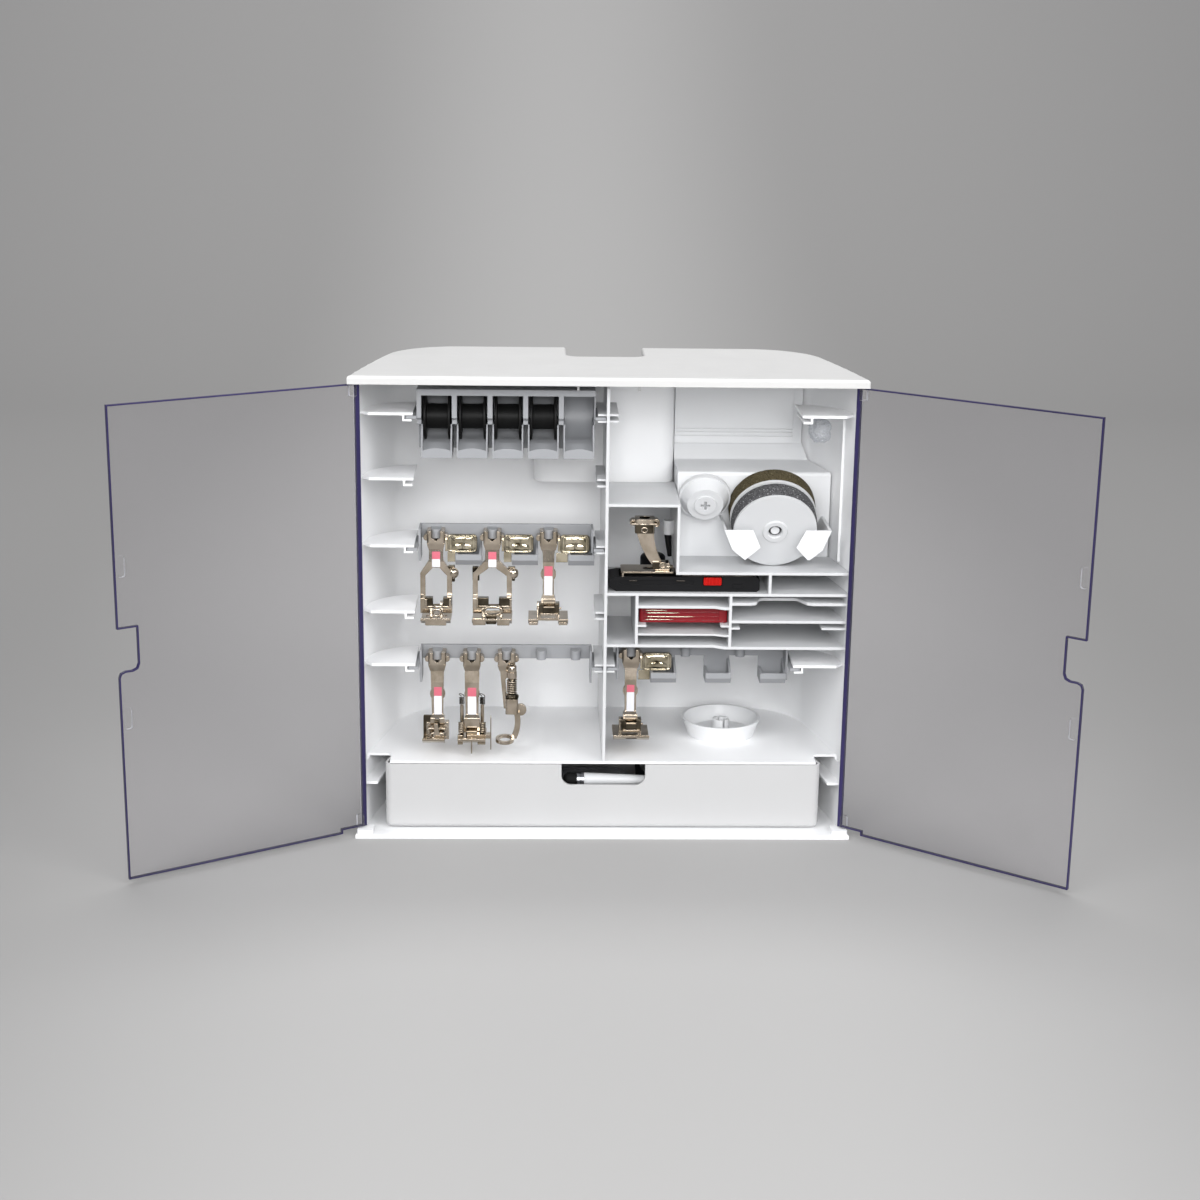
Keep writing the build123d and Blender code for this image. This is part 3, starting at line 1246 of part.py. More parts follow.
# Darning foot: clamp head, side arm, spring on a rod and a ring toe
DARN_X = lower_pegs[2]
DARN_ROD_X = DARN_X + 3.3
DARN_ROD_DEPTH = 14.0
SPRING_TOP = NARROW_RAIL - 10.4
SPRING_TURNS = 6
SPRING_PITCH = 1.5
SPRING_RADIUS = 2.7
SPRING_WIRE = 0.42
SPRING_BOTTOM = SPRING_TOP - SPRING_TURNS * SPRING_PITCH
BLOCK_TOP = NARROW_RAIL - 22.0
with BuildPart() as darning_shank:
    add(head_clamp(DARN_X, NARROW_RAIL))
    with BuildSketch(depth(PEG_DEPTH - 5.0)):
        with BuildLine():
            Polyline(
                (DARN_X - 4.0, NARROW_RAIL - 5.0), (DARN_X + 3.4, NARROW_RAIL - 5.0),
                (DARN_X - 0.6, NARROW_RAIL - 12.0), (DARN_X + 0.2, NARROW_RAIL - 24.0),
                (DARN_X + 1.6, NARROW_RAIL - 31.0), (DARN_X - 1.6, NARROW_RAIL - 30.0),
                close=True,
            )
        make_face()
    extrude(amount=-3.0)
    # ears that carry the rod above the spring
    with BuildSketch(Plane.XY.offset(NARROW_RAIL - 9.6)):
        with Locations((DARN_ROD_X, FRONT + DARN_ROD_DEPTH)):
            Circle(3.0)
        with Locations((DARN_ROD_X - 1.0, FRONT + DARN_ROD_DEPTH + 2.0)):
            Rectangle(5.0, 4.4)
    extrude(amount=3.8)
    with Locations((DARN_ROD_X, FRONT + DARN_ROD_DEPTH, NARROW_RAIL - 5.8)):
        Hole(1.25, depth=6)
darning_shank.part.label = "darning_foot_shank"
shanks.append(darning_shank.part)

with BuildPart() as darning_toe:
    # rod through the spring, with a collar on top
    with BuildSketch(Plane.XY.offset(BLOCK_TOP - 0.5)):
        with Locations((DARN_ROD_X, FRONT + DARN_ROD_DEPTH)):
            Circle(1.2)
    extrude(amount=NARROW_RAIL - 4.6 - BLOCK_TOP + 0.5)
    with BuildSketch(Plane.XY.offset(BLOCK_TOP)):
        with Locations((DARN_ROD_X, FRONT + DARN_ROD_DEPTH)):
            Circle(3.4)
    extrude(amount=2.0)
    # block with the clamping disc at its side
    with BuildSketch(Plane.XY.offset(BLOCK_TOP - 9.4)):
        with Locations((DARN_ROD_X, FRONT + DARN_ROD_DEPTH - 1.0)):
            RectangleRounded(7.6, 7.6, 1.6)
    extrude(amount=9.4)
    with BuildSketch(depth(DARN_ROD_DEPTH - 2.0)):
        with Locations((DARN_ROD_X + 5.2, BLOCK_TOP - 7.4)):
            Circle(3.6)
    extrude(amount=-2.4)
    # stem that runs down and turns into the ring
    stem = [
        (DARN_ROD_X + 3.0, BLOCK_TOP - 8.6), (DARN_ROD_X + 3.4, BLOCK_TOP - 17.0),
        (DARN_ROD_X + 1.2, BLOCK_TOP - 24.5),
    ]
    with BuildLine() as stem_path:
        Spline(*[(px, FRONT + DARN_ROD_DEPTH - 2.6, pz) for px, pz in stem])
    with BuildSketch(Plane(stem_path.line @ 0, z_dir=stem_path.line % 0)):
        Rectangle(3.4, 2.6)
    sweep(path=stem_path.line)
    with BuildSketch(Plane.XY.offset(BLOCK_TOP - 26.2)):
        with Locations((DARN_X - 0.8, FRONT + DARN_ROD_DEPTH - 4.6)):
            Ellipse(5.6, 7.4)
            Ellipse(3.9, 5.6, mode=Mode.SUBTRACT)
    extrude(amount=2.0)
darning_toe.part.label = "darning_foot_toe"
soles.append(darning_toe.part)

# Darning spring: one tube of quarter-turn arcs round the rod
spring_points = []
for i in range(SPRING_TURNS * 8 + 1):
    turn_angle = radians(45 * i)
    spring_points.append(Vector(
        DARN_ROD_X + SPRING_RADIUS * cos(turn_angle),
        FRONT + DARN_ROD_DEPTH + SPRING_RADIUS * sin(turn_angle),
        SPRING_TOP - 0.45 - (SPRING_TURNS * SPRING_PITCH - 0.9) * i / (SPRING_TURNS * 8),
    ))
with BuildPart() as darning_spring:
    with BuildLine() as coil:
        for i in range(0, SPRING_TURNS * 8, 2):
            ThreePointArc(spring_points[i], spring_points[i + 1], spring_points[i + 2])
    with BuildSketch(Plane(coil.line @ 0, z_dir=coil.line % 0)):
        Circle(SPRING_WIRE)
    sweep(path=coil.line)
darning_spring.part.label = "darning_foot_spring"
least = min(
    (spring_points[i] - spring_points[j]).length
    for i in range(len(spring_points)) for j in range(i + 6, len(spring_points))
)
print("darning spring, least gap to itself:", round(least - 2 * SPRING_WIRE, 3), "mm")


# Buttonhole sledge foot, lying on the long shelf
SLEDGE_X = (1.6, 90.8)
SLEDGE_DEPTH = (4.0, 25.0)
SLEDGE_LOW = LONG_TOP + 0.1
SLEDGE_HIGH = 160.8
sledge_middle = (SLEDGE_DEPTH[0] + SLEDGE_DEPTH[1]) / 2
with BuildPart() as sledge_frame:
    with BuildSketch(depth(SLEDGE_DEPTH[0])):
        with BuildLine():
            Polyline(
                (SLEDGE_X[0], SLEDGE_LOW + 3.0), (SLEDGE_X[0], SLEDGE_HIGH - 2.5), (7.0, SLEDGE_HIGH - 1.5),
                (48.0, SLEDGE_HIGH - 1.5), (50.0, SLEDGE_HIGH), (SLEDGE_X[1] - 4.0, SLEDGE_HIGH),
                (SLEDGE_X[1], SLEDGE_HIGH - 3.0), (SLEDGE_X[1], SLEDGE_LOW + 1.5),
                (SLEDGE_X[1] - 1.5, SLEDGE_LOW), (6.0, SLEDGE_LOW),
                close=True,
            )
        make_face()
    extrude(amount=-(SLEDGE_DEPTH[1] - SLEDGE_DEPTH[0]))
    # trough between the two side rails, open at the top
    with BuildSketch(Plane.XY.offset(SLEDGE_LOW + 2.0)):
        with Locations(((8.0 + 76.0) / 2, FRONT + sledge_middle)):
            Rectangle(68.0, SLEDGE_DEPTH[1] - SLEDGE_DEPTH[0] - 4.4)
    extrude(amount=20, mode=Mode.SUBTRACT)
    # needle slot through the floor
    with BuildSketch(Plane.XY.offset(SLEDGE_LOW - 1)):
        with Locations((27.0, FRONT + sledge_middle)):
            SlotOverall(30.0, 7.0)
    extrude(amount=6, mode=Mode.SUBTRACT)
    # long flute in the front rail, and a seat for the button
    with BuildSketch(depth(SLEDGE_DEPTH[0])):
        with Locations((30.0, SLEDGE_LOW + 5.4)):
            SlotOverall(44.0, 2.6)
    extrude(amount=-0.6, mode=Mode.SUBTRACT)
    with BuildSketch(depth(SLEDGE_DEPTH[0])):
        with Locations((62.9, SLEDGE_LOW + 6.4)):
            Rectangle(11.4, 5.4)
    extrude(amount=-1.4, mode=Mode.SUBTRACT)
sledge_frame.part.label = "sledge_frame"

with BuildPart() as sledge_button:
    with BuildSketch(depth(SLEDGE_DEPTH[0] - 1.0)):
        with Locations((62.9, SLEDGE_LOW + 6.4)):
            RectangleRounded(10.6, 4.6, 0.8)
    extrude(amount=-2.3)
    with BuildSketch(depth(SLEDGE_DEPTH[0] - 1.6)):
        with Locations((62.9, SLEDGE_LOW + 6.4)):
            with GridLocations(2.0, 1.0, 5, 1):
                Rectangle(0.9, 3.8)
    extrude(amount=-0.8)
sledge_button.part.label = "sledge_button"

with BuildPart() as sledge_slide:
    # slotted metal tongue over the left end, bent down at its tip
    with BuildSketch(Plane.XY.offset(SLEDGE_HIGH + 0.1)):
        with Locations((24.8, FRONT + sledge_middle)):
            RectangleRounded(31.6, 17.0, 1.5)
        with Locations((30.0, FRONT + sledge_middle)):
            SlotOverall(16.0, 6.0, mode=Mode.SUBTRACT)
    extrude(amount=1.1)
    with BuildSketch(depth(SLEDGE_DEPTH[0] + 2.6)):
        with BuildLine():
            Polyline(
                (11.0, SLEDGE_HIGH + 1.2), (9.6, SLEDGE_LOW + 3.6), (8.6, SLEDGE_LOW + 3.6),
                (9.8, SLEDGE_HIGH + 1.2),
                close=True,
            )
        make_face()
    extrude(amount=-15.8)
sledge_slide.part.label = "sledge_slide"

SLEDGE_HEAD_X = 22.7
SLEDGE_RAIL = 190.4
SLEDGE_SHANK_DEPTH = 14.0
with BuildPart() as sledge_shank:
    # curved flat shank from the head down to the clevis on the slide
    with BuildSketch(depth(SLEDGE_SHANK_DEPTH - 4.6)):
        with BuildLine():
            Line((17.6, 186.0), (28.0, 186.0))
            ThreePointArc((28.0, 186.0), (30.0, 174.0), (36.2, SLEDGE_HIGH + 1.6))
            Line((36.2, SLEDGE_HIGH + 1.6), (29.8, SLEDGE_HIGH + 1.6))
            ThreePointArc((29.8, SLEDGE_HIGH + 1.6), (22.4, 173.0), (17.6, 186.0))
        make_face()
    extrude(amount=-2.8)
    with BuildSketch(depth(SLEDGE_SHANK_DEPTH - 5.6)):
        with Locations((33.4, SLEDGE_HIGH + 3.6)):
            RectangleRounded(9.0, 4.4, 1.0)
    extrude(amount=-8.0)
    with BuildSketch(Plane.XY.offset(SLEDGE_RAIL - 6.0)):
        with Locations((SLEDGE_HEAD_X, FRONT + SLEDGE_SHANK_DEPTH)):
            RectangleRounded(11.6, 11.0, 1.4)
    extrude(amount=8.4)
    with BuildSketch(depth(SLEDGE_SHANK_DEPTH - 3.0)):
        with Locations((SLEDGE_HEAD_X, SLEDGE_RAIL)):
            SlotOverall(17.6, 3.6)
    extrude(amount=-6.0)
    with Locations((SLEDGE_HEAD_X, FRONT + SLEDGE_SHANK_DEPTH, SLEDGE_RAIL + 2.4)):
        Hole(3.2, depth=6.0)
    with BuildSketch(depth(SLEDGE_SHANK_DEPTH - 6.0)):
        with Locations((SLEDGE_HEAD_X, SLEDGE_RAIL - 2.6)):
            Circle(1.4)
    extrude(amount=-4.0, mode=Mode.SUBTRACT)
sledge_shank.part.label = "sledge_shank"


# Flat red needle case in its cell
CASE_X = (20.2, 72.6)
CASE_LOW = CASE_LEDGE_TOP + 0.1
with BuildPart() as needle_case:
    with BuildSketch(Plane.XY.offset(CASE_LOW)):
        with Locations(((CASE_X[0] + CASE_X[1]) / 2, FRONT + 6.0 + 14.0)):
            RectangleRounded(CASE_X[1] - CASE_X[0], 28.0, 1.6)
    extrude(amount=9.1)
    # needles show through a shallow window in front, with two ribs
    with BuildSketch(depth(6.0)):
        with Locations((45.0, CASE_LOW + 4.55)):
            Rectangle(45.0, 6.7)
    extrude(amount=-0.8, mode=Mode.SUBTRACT)
    with BuildSketch(depth(6.2)):
        for rise in (3.2, 5.7):
            with Locations((45.0, CASE_LOW + rise)):
                Rectangle(45.4, 0.7)
    extrude(amount=-0.9)
needle_case.part.label = "needle_case"


# Tall bay: black round cap standing at the back and a dark tapered pin on a white boss
with BuildPart() as black_round_cap:
    with BuildSketch(Plane.XY.offset(LONG_TOP)):
        with Locations((29.6, FRONT + 44.0)):
            Circle(7.6)
    extrude(amount=14.0)
    chamfer(edges().group_by(Axis.Z)[-1], 1.6)
black_round_cap.part.label = "black_round_cap"

with BuildPart() as tapered_pin:
    with BuildSketch(Plane((PIN_X, FRONT + PIN_DEPTH, PIN_TOP), z_dir=(0.1, 0, -1))):
        Circle(2.2)
    extrude(amount=13.5, taper=4)
tapered_pin.part.label = "tapered_pin"


# Round dish on the floor, with a slotted collet post
with BuildPart() as dish:
    with BuildSketch(Plane((DISH_X, FRONT + DISH_DEPTH, FLOOR_TOP), x_dir=(1, 0, 0), z_dir=(0, -1, 0))):
        with BuildLine():
            Polyline(
                (0, 0), (DISH_BASE_RADIUS, 0), (DISH_RADIUS, DISH_HEIGHT),
                (DISH_RADIUS - DISH_WALL, DISH_HEIGHT), (DISH_BASE_RADIUS - DISH_WALL, DISH_WALL),
                (0, DISH_WALL),
                close=True,
            )
        make_face()
    revolve(axis=Axis((DISH_X, FRONT + DISH_DEPTH, FLOOR_TOP), (0, 0, 1)))
    with BuildSketch(Plane.XY.offset(FLOOR_TOP + 1.0)):
        with Locations(Location((DISH_X, FRONT + DISH_DEPTH), DISH_TURN)):
            Circle(5.0)
            Circle(3.2, mode=Mode.SUBTRACT)
            Rectangle(12.0, 1.4, mode=Mode.SUBTRACT)
            Rectangle(1.4, 12.0, mode=Mode.SUBTRACT)
    extrude(amount=8.4)
dish.part.label = "dish"


def pillow(x, d, width, depth_size, low, height, corner, swell):
    """Closed soft form: a flat bag that swells in its middle between two thin ends."""
    with BuildPart() as bag:
        for level, shrink in ((0, 1.5), (height / 2, 0), (height, swell)):
            with BuildSketch(Plane.XY.offset(low + level)):
                with Locations((x, FRONT + d)):
                    RectangleRounded(width - 2 * shrink, depth_size - 2 * shrink, corner)
        loft(ruled=True)
    return bag.part


# Soft bags, as simple closed solids: one behind the right wall's top rail and three in the drawer
bags = []
for name, x, d, width, depth_size, low, height, swell in (
    ("clear_bag", 125.0, 20.0, 13.0, 24.0, 238.0, 13.2, 3.0),
    ("zip_bag", -8.5, 30.0, 57.0, 48.0, DRAWER_BOTTOM + DRAWER_WALL + 0.1, 22.0, 4.0),
    ("wrapper_bag", 80.0, 26.0, 64.0, 40.0, DRAWER_BOTTOM + DRAWER_WALL + 0.1, 28.0, 5.0),
):
    bag = pillow(x, d, width, depth_size, low, height, 3.0, swell)
    bag.label = name
    bags.append(bag)

# Black card case with an oval window, leaning in the drawer
CARD_TILT = 38.0
with BuildPart() as window_card:
    card_plane = Plane(
        (34.0, FRONT + 13.0, DRAWER_BOTTOM + DRAWER_WALL + 1.2),
        x_dir=(1, 0, 0),
        z_dir=(0, -sin(radians(CARD_TILT)), cos(radians(CARD_TILT))),
    )
    with BuildSketch(card_plane):
        with Locations((0, 24.0)):
            RectangleRounded(26.0, 48.0, 1.0)
        with Locations((0, 36.0)):
            Ellipse(10.0, 7.0, mode=Mode.SUBTRACT)
    extrude(amount=1.2)
window_card.part.label = "window_card"

# Stylus lying behind the drawer's scoop: rubber tip, bright ring and white barrel
PEN_START = (-24.0, FRONT + 8.0, DRAWER_BOTTOM + DRAWER_WALL + 27.2)
PEN_AXIS = (1.0, 0.06, -0.035)
pen_parts = []
for name, start, reach, near_radius, far_radius in (
    ("stylus_barrel", 12.4, 52.0, 3.9, 2.4), ("stylus_ring", 8.0, 4.3, 3.9, 3.9), ("stylus_tip", 0.0, 7.9, 3.7, 3.7),
):
    with BuildPart() as piece:
        with BuildSketch(Plane(PEN_START, z_dir=PEN_AXIS).offset(start)):
            Circle(near_radius)
        with BuildSketch(Plane(PEN_START, z_dir=PEN_AXIS).offset(start + reach)):
            Circle(far_radius)
        loft()
        if name == "stylus_tip":
            fillet(edges().filter_by(GeomType.CIRCLE).sort_by(Axis.X)[0], 3.2)
        if name == "stylus_ring":
            with BuildSketch(Plane(PEN_START, z_dir=PEN_AXIS).offset(start + 1.9)):
                Circle(5.0)
                Circle(3.3, mode=Mode.SUBTRACT)
            extrude(amount=0.6, mode=Mode.SUBTRACT)
    piece.part.label = name
    pen_parts.append(piece.part)


# Stand feet that swing out of the base's rear recesses
stand_feet = []
for name, turn in (("left_stand_foot", -1), ("right_stand_foot", 1)):
    with BuildPart() as foot:
        with BuildSketch(Plane.XY.offset(STAND_LOW)):
            with Locations((turn * STAND_PIVOT_X, FRONT + STAND_PIVOT_DEPTH)):
                Circle(5.4)
            with Locations((turn * (STAND_PIVOT_X - 29.0), FRONT + STAND_PIVOT_DEPTH + 0.9)):
                RectangleRounded(62.0, 9.0, 2.0)
        extrude(amount=STAND_HEIGHT)
        with Locations((turn * STAND_PIVOT_X, FRONT + STAND_PIVOT_DEPTH, STAND_LOW + STAND_HEIGHT)):
            Hole(STAND_POST + 0.05)
    foot.part.label = name
    stand_feet.append(foot.part)


singles = (
    cabinet_shell, lid, divider, shelf_unit, spool_insert, front_spool_disc, grey_foam_pad,
    middle_spool_disc, olive_foam_pad, small_spool_cap, drawer, bobbin_rack, darning_spring,
    sledge_frame, sledge_button, sledge_slide, sledge_shank, needle_case, black_round_cap,
    tapered_pin, dish, window_card,
)
for built in singles:
    export_step(built.part, f"parts/{built.part.label}.step")
for piece in doors + bobbins + racks + shanks + soles + coding_plates + bags + pen_parts + stand_feet:
    export_step(piece, f"parts/{piece.label}.step")
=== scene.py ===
"""Sewing machine accessory box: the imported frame, dressed with finishes, films and foams."""

import logging
import math
from dataclasses import dataclass
from enum import Enum

import bmesh
import bpy
import numpy as np
from mathutils import Matrix, Vector


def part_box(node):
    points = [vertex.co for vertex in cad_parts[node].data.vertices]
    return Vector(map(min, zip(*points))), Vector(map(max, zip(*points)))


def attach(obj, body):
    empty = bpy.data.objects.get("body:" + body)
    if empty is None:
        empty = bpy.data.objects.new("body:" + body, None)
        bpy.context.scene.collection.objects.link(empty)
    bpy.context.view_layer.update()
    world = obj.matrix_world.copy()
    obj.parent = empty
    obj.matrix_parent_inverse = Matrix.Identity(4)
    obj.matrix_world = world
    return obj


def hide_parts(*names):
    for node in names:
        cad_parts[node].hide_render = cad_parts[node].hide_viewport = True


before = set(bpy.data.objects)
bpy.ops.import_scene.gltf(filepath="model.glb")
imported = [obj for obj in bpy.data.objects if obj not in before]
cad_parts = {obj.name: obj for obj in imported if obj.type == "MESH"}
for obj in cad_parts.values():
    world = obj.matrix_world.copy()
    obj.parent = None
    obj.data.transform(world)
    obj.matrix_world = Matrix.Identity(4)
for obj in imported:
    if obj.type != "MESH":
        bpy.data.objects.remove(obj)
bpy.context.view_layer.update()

LOG = logging.getLogger("accessory_box")

# Lengths are metres. Names that end in _MM, and the tables of small pieces, are millimetres
MM = 0.001
FRONT_MM = -52.0
FRONT = FRONT_MM * MM
HALF_TURN = math.pi
FULL_TURN = 2 * math.pi

# Hinge lines and door sizes, as in the CAD
HINGE_X = 146.0 * MM
HINGE_Y = -56.5 * MM
DOOR_LENGTH = 145.4 * MM
DOOR_TAIL = 3.9 * MM
DOOR_HALF = 1.0 * MM

# Heights that the feet hang from on each rack, and where the coded feet's pegs are
WIDE_RAIL_MM = 178.3
NARROW_RAIL_MM = 103.3
RIGHT_RAIL_MM = 105.8
WIDE_PEGS_MM = (-100.4, -67.1, -33.8)
RIGHT_PEG_MM = 16.3

# The leaning peg that carries the foam pads: its tilt, and the middle of the front disc's face
STACK_TILT = math.radians(22.0)
STACK_FACE = (99.3 * MM, FRONT + 7.5 * MM, 186.5 * MM)

# The span that a noise really fills, the samples of a rounded edge, and the welding distance
NOISE_LOW = 0.3
NOISE_HIGH = 0.7
EDGE_SAMPLES = 4
WELD = 2e-7

# Phases of seeded waves are drawn from nought to this
PHASE_TOP = 6.28

# A direction that no coil follows
SKEW_GUIDE = (0.3, 0.2, 0.93)

Array = np.ndarray
Color = tuple[float, float, float]
Point = tuple[float, float, float]
Vec = Point | Array
Material = bpy.types.Material
Node = bpy.types.Node
Socket = bpy.types.NodeSocket
Tree = bpy.types.NodeTree


class Body(Enum):
    """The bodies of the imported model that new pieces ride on."""

    CABINET = "cabinet"
    LEFT_DOOR = "left_door"
    RIGHT_DOOR = "right_door"
    DRAWER = "drawer"
    WIDE_RACK = "wide_foot_rack"
    NARROW_RACK = "narrow_foot_rack"
    RIGHT_RACK = "right_foot_rack"


# Node graph helpers

def start_material(name: str) -> tuple[Material, Tree, Node]:
    """Makes an empty node material.

    Args:
        name: the material's name.
    Returns:
        The material, its node tree and its output node.
    """
    made = bpy.data.materials.new(name)
    made.use_nodes = True
    tree = made.node_tree
    tree.nodes.clear()
    return made, tree, tree.nodes.new("ShaderNodeOutputMaterial")


def add_noise(tree: Tree, scale: float, detail: float, stretch: Point = (1.0, 1.0, 1.0)) -> Node:
    """Adds a noise on Object coordinates, stretched along the axes.

    Args:
        tree: the material's node tree.
        scale: noise scale per metre.
        detail: octaves of the noise.
        stretch: how much each axis is scaled before the noise.
    Returns:
        The noise node.
    """
    coords = tree.nodes.new("ShaderNodeTexCoord")
    mapping = tree.nodes.new("ShaderNodeMapping")
    mapping.inputs["Scale"].default_value = stretch
    noise = tree.nodes.new("ShaderNodeTexNoise")
    noise.inputs["Scale"].default_value = scale
    noise.inputs["Detail"].default_value = detail
    tree.links.new(coords.outputs["Object"], mapping.inputs["Vector"])
    tree.links.new(mapping.outputs["Vector"], noise.inputs["Vector"])
    return noise


def add_ramp(
    tree: Tree, source: Socket, low: Color, high: Color,
    start: float = NOISE_LOW, end: float = NOISE_HIGH,
) -> Node:
    """Adds a colour ramp between two colours.

    Args:
        tree: the material's node tree.
        source: the socket that drives the ramp.
        low: colour at the start.
        high: colour at the end.
        start: factor where the ramp leaves low.
        end: factor where the ramp reaches high.
    Returns:
        The ramp node.
    """
    ramp = tree.nodes.new("ShaderNodeValToRGB")
    ramp.color_ramp.elements[0].position = start
    ramp.color_ramp.elements[1].position = end
    ramp.color_ramp.elements[0].color = (*low, 1.0)
    ramp.color_ramp.elements[1].color = (*high, 1.0)
    tree.links.new(source, ramp.inputs["Fac"])
    return ramp


def add_range(tree: Tree, source: Socket, low: float, high: float) -> Node:
    """Maps the span that a noise fills to low..high.

    Args:
        tree: the material's node tree.
        source: the noise's socket.
        low: value at the span's start.
        high: value at its end.
    Returns:
        The map node.
    """
    node = tree.nodes.new("ShaderNodeMapRange")
    node.inputs["From Min"].default_value = NOISE_LOW
    node.inputs["From Max"].default_value = NOISE_HIGH
    node.inputs["To Min"].default_value = low
    node.inputs["To Max"].default_value = high
    tree.links.new(source, node.inputs["Value"])
    return node


def add_bump(
    tree: Tree, shader: Node, source: Socket, strength: float, distance: float, edge: float = 0.0,
) -> None:
    """Adds a bump to a shader's normal.

    Args:
        tree: the material's node tree.
        shader: the shader that gets the normal.
        source: the height's socket.
        strength: share of the bump that shows.
        distance: height in metres that a full step stands for.
        edge: radius by which sharp edges look rounded; nought leaves them.
    """
    bump = tree.nodes.new("ShaderNodeBump")
    if edge:
        rounding = tree.nodes.new("ShaderNodeBevel")
        rounding.samples = EDGE_SAMPLES
        rounding.inputs["Radius"].default_value = edge
        tree.links.new(rounding.outputs["Normal"], bump.inputs["Normal"])
    bump.inputs["Strength"].default_value = strength
    bump.inputs["Distance"].default_value = distance
    tree.links.new(source, bump.inputs["Height"])
    tree.links.new(bump.outputs["Normal"], shader.inputs["Normal"])


@dataclass(frozen=True)
class MouldedPlastic:
    """Moulded plastic: slight tone drift, fine mould grain and a soft sheen.

    Attributes:
        name: the material's name.
        tone: base colour.
        drift: how far the colour drifts over the piece.
        rough: roughness range.
        grain: bump strength of the mould texture.
        subsurface: share of the light that scatters under the skin.
        gloss: strength of the mirror layer, 0.5 for common plastic.
        index: index of refraction.
        cloud: noise scale of the tone's drift.
        texture: noise scale of the mould texture.
        wear: noise scale of the roughness.
        texture_depth: height of the mould texture.
        edge: radius of the rounded edges.
        scatter: how far light travels under the skin.
        scatter_scale: multiplies that length.
    """

    name: str
    tone: Color
    drift: float = 0.02
    rough: tuple[float, float] = (0.3, 0.4)
    grain: float = 0.08
    subsurface: float = 0.0
    gloss: float = 0.5
    index: float = 1.49
    cloud: float = 9.0
    texture: float = 1600.0
    wear: float = 60.0
    texture_depth: float = 0.2 * MM
    edge: float = 0.35 * MM
    scatter: float = 4.0 * MM
    scatter_scale: float = 0.6

    def build(self) -> Material:
        """Returns the node material."""
        made, tree, out = start_material(self.name)
        shader = tree.nodes.new("ShaderNodeBsdfPrincipled")
        shader.inputs["IOR"].default_value = self.index
        shader.inputs["Specular IOR Level"].default_value = self.gloss
        cloud = add_noise(tree, self.cloud, detail=3.0)
        dark = tuple(max(c * (1.0 - self.drift), 0.0) for c in self.tone)
        light = tuple(min(c * (1.0 + self.drift), 1.0) for c in self.tone)
        ramp = add_ramp(tree, cloud.outputs["Fac"], dark, light)
        tree.links.new(ramp.outputs["Color"], shader.inputs["Base Color"])
        fine = add_noise(tree, self.texture, detail=2.0)
        wear = add_noise(tree, self.wear, detail=5.0)
        rough = add_range(tree, wear.outputs["Fac"], *self.rough)
        tree.links.new(rough.outputs["Result"], shader.inputs["Roughness"])
        add_bump(tree, shader, fine.outputs["Fac"], self.grain, self.texture_depth, self.edge)
        if self.subsurface:
            shader.inputs["Subsurface Weight"].default_value = self.subsurface
            shader.inputs["Subsurface Radius"].default_value = (self.scatter,) * 3
            shader.inputs["Subsurface Scale"].default_value = self.scatter_scale
        tree.links.new(shader.outputs["BSDF"], out.inputs["Surface"])
        return made


@dataclass(frozen=True)
class PolishedMetal:
    """Plated metal: warm nickel with brushed streaks and darker patches, which are worn plating and
    painted dark reflections.

    Attributes:
        name: the material's name.
        bright: colour of the clean plating.
        dull_and_dark_reflection: colour of the worn plating and of the painted dark reflections.
        rough: roughness range.
        streak: stretch of the brushing along the axes.
        patch: noise scale of the darker patches.
        brush: noise scale of the brushing.
        dark_patch_span: noise values where the patches are wholly dark and wholly clean.
        grain: bump strength of the brushing.
        brush_depth: height of the brushing.
        edge: radius of the rounded edges.
    """

    name: str
    bright: Color
    dull_and_dark_reflection: Color
    rough: tuple[float, float] = (0.08, 0.18)
    streak: Point = (1.0, 1.0, 0.08)
    patch: float = 120.0
    brush: float = 2600.0
    dark_patch_span: tuple[float, float] = (0.35, 0.6)
    grain: float = 0.05
    brush_depth: float = 0.05 * MM
    edge: float = 0.4 * MM

    def build(self) -> Material:
        """Returns the node material."""
        made, tree, out = start_material(self.name)
        shader = tree.nodes.new("ShaderNodeBsdfPrincipled")
        shader.inputs["Metallic"].default_value = 1.0
        # darker patches: worn plating and painted dark reflections
        wear_and_reflection_patches = add_noise(tree, self.patch, detail=2.0)
        ramp = add_ramp(tree, wear_and_reflection_patches.outputs["Fac"], self.dull_and_dark_reflection, self.bright, *self.dark_patch_span)
        tree.links.new(ramp.outputs["Color"], shader.inputs["Base Color"])
        brush = add_noise(tree, self.brush, detail=3.0, stretch=self.streak)
        rough = add_range(tree, brush.outputs["Fac"], *self.rough)
        tree.links.new(rough.outputs["Result"], shader.inputs["Roughness"])
        add_bump(tree, shader, brush.outputs["Fac"], self.grain, self.brush_depth, self.edge)
        tree.links.new(shader.outputs["BSDF"], out.inputs["Surface"])
        return made


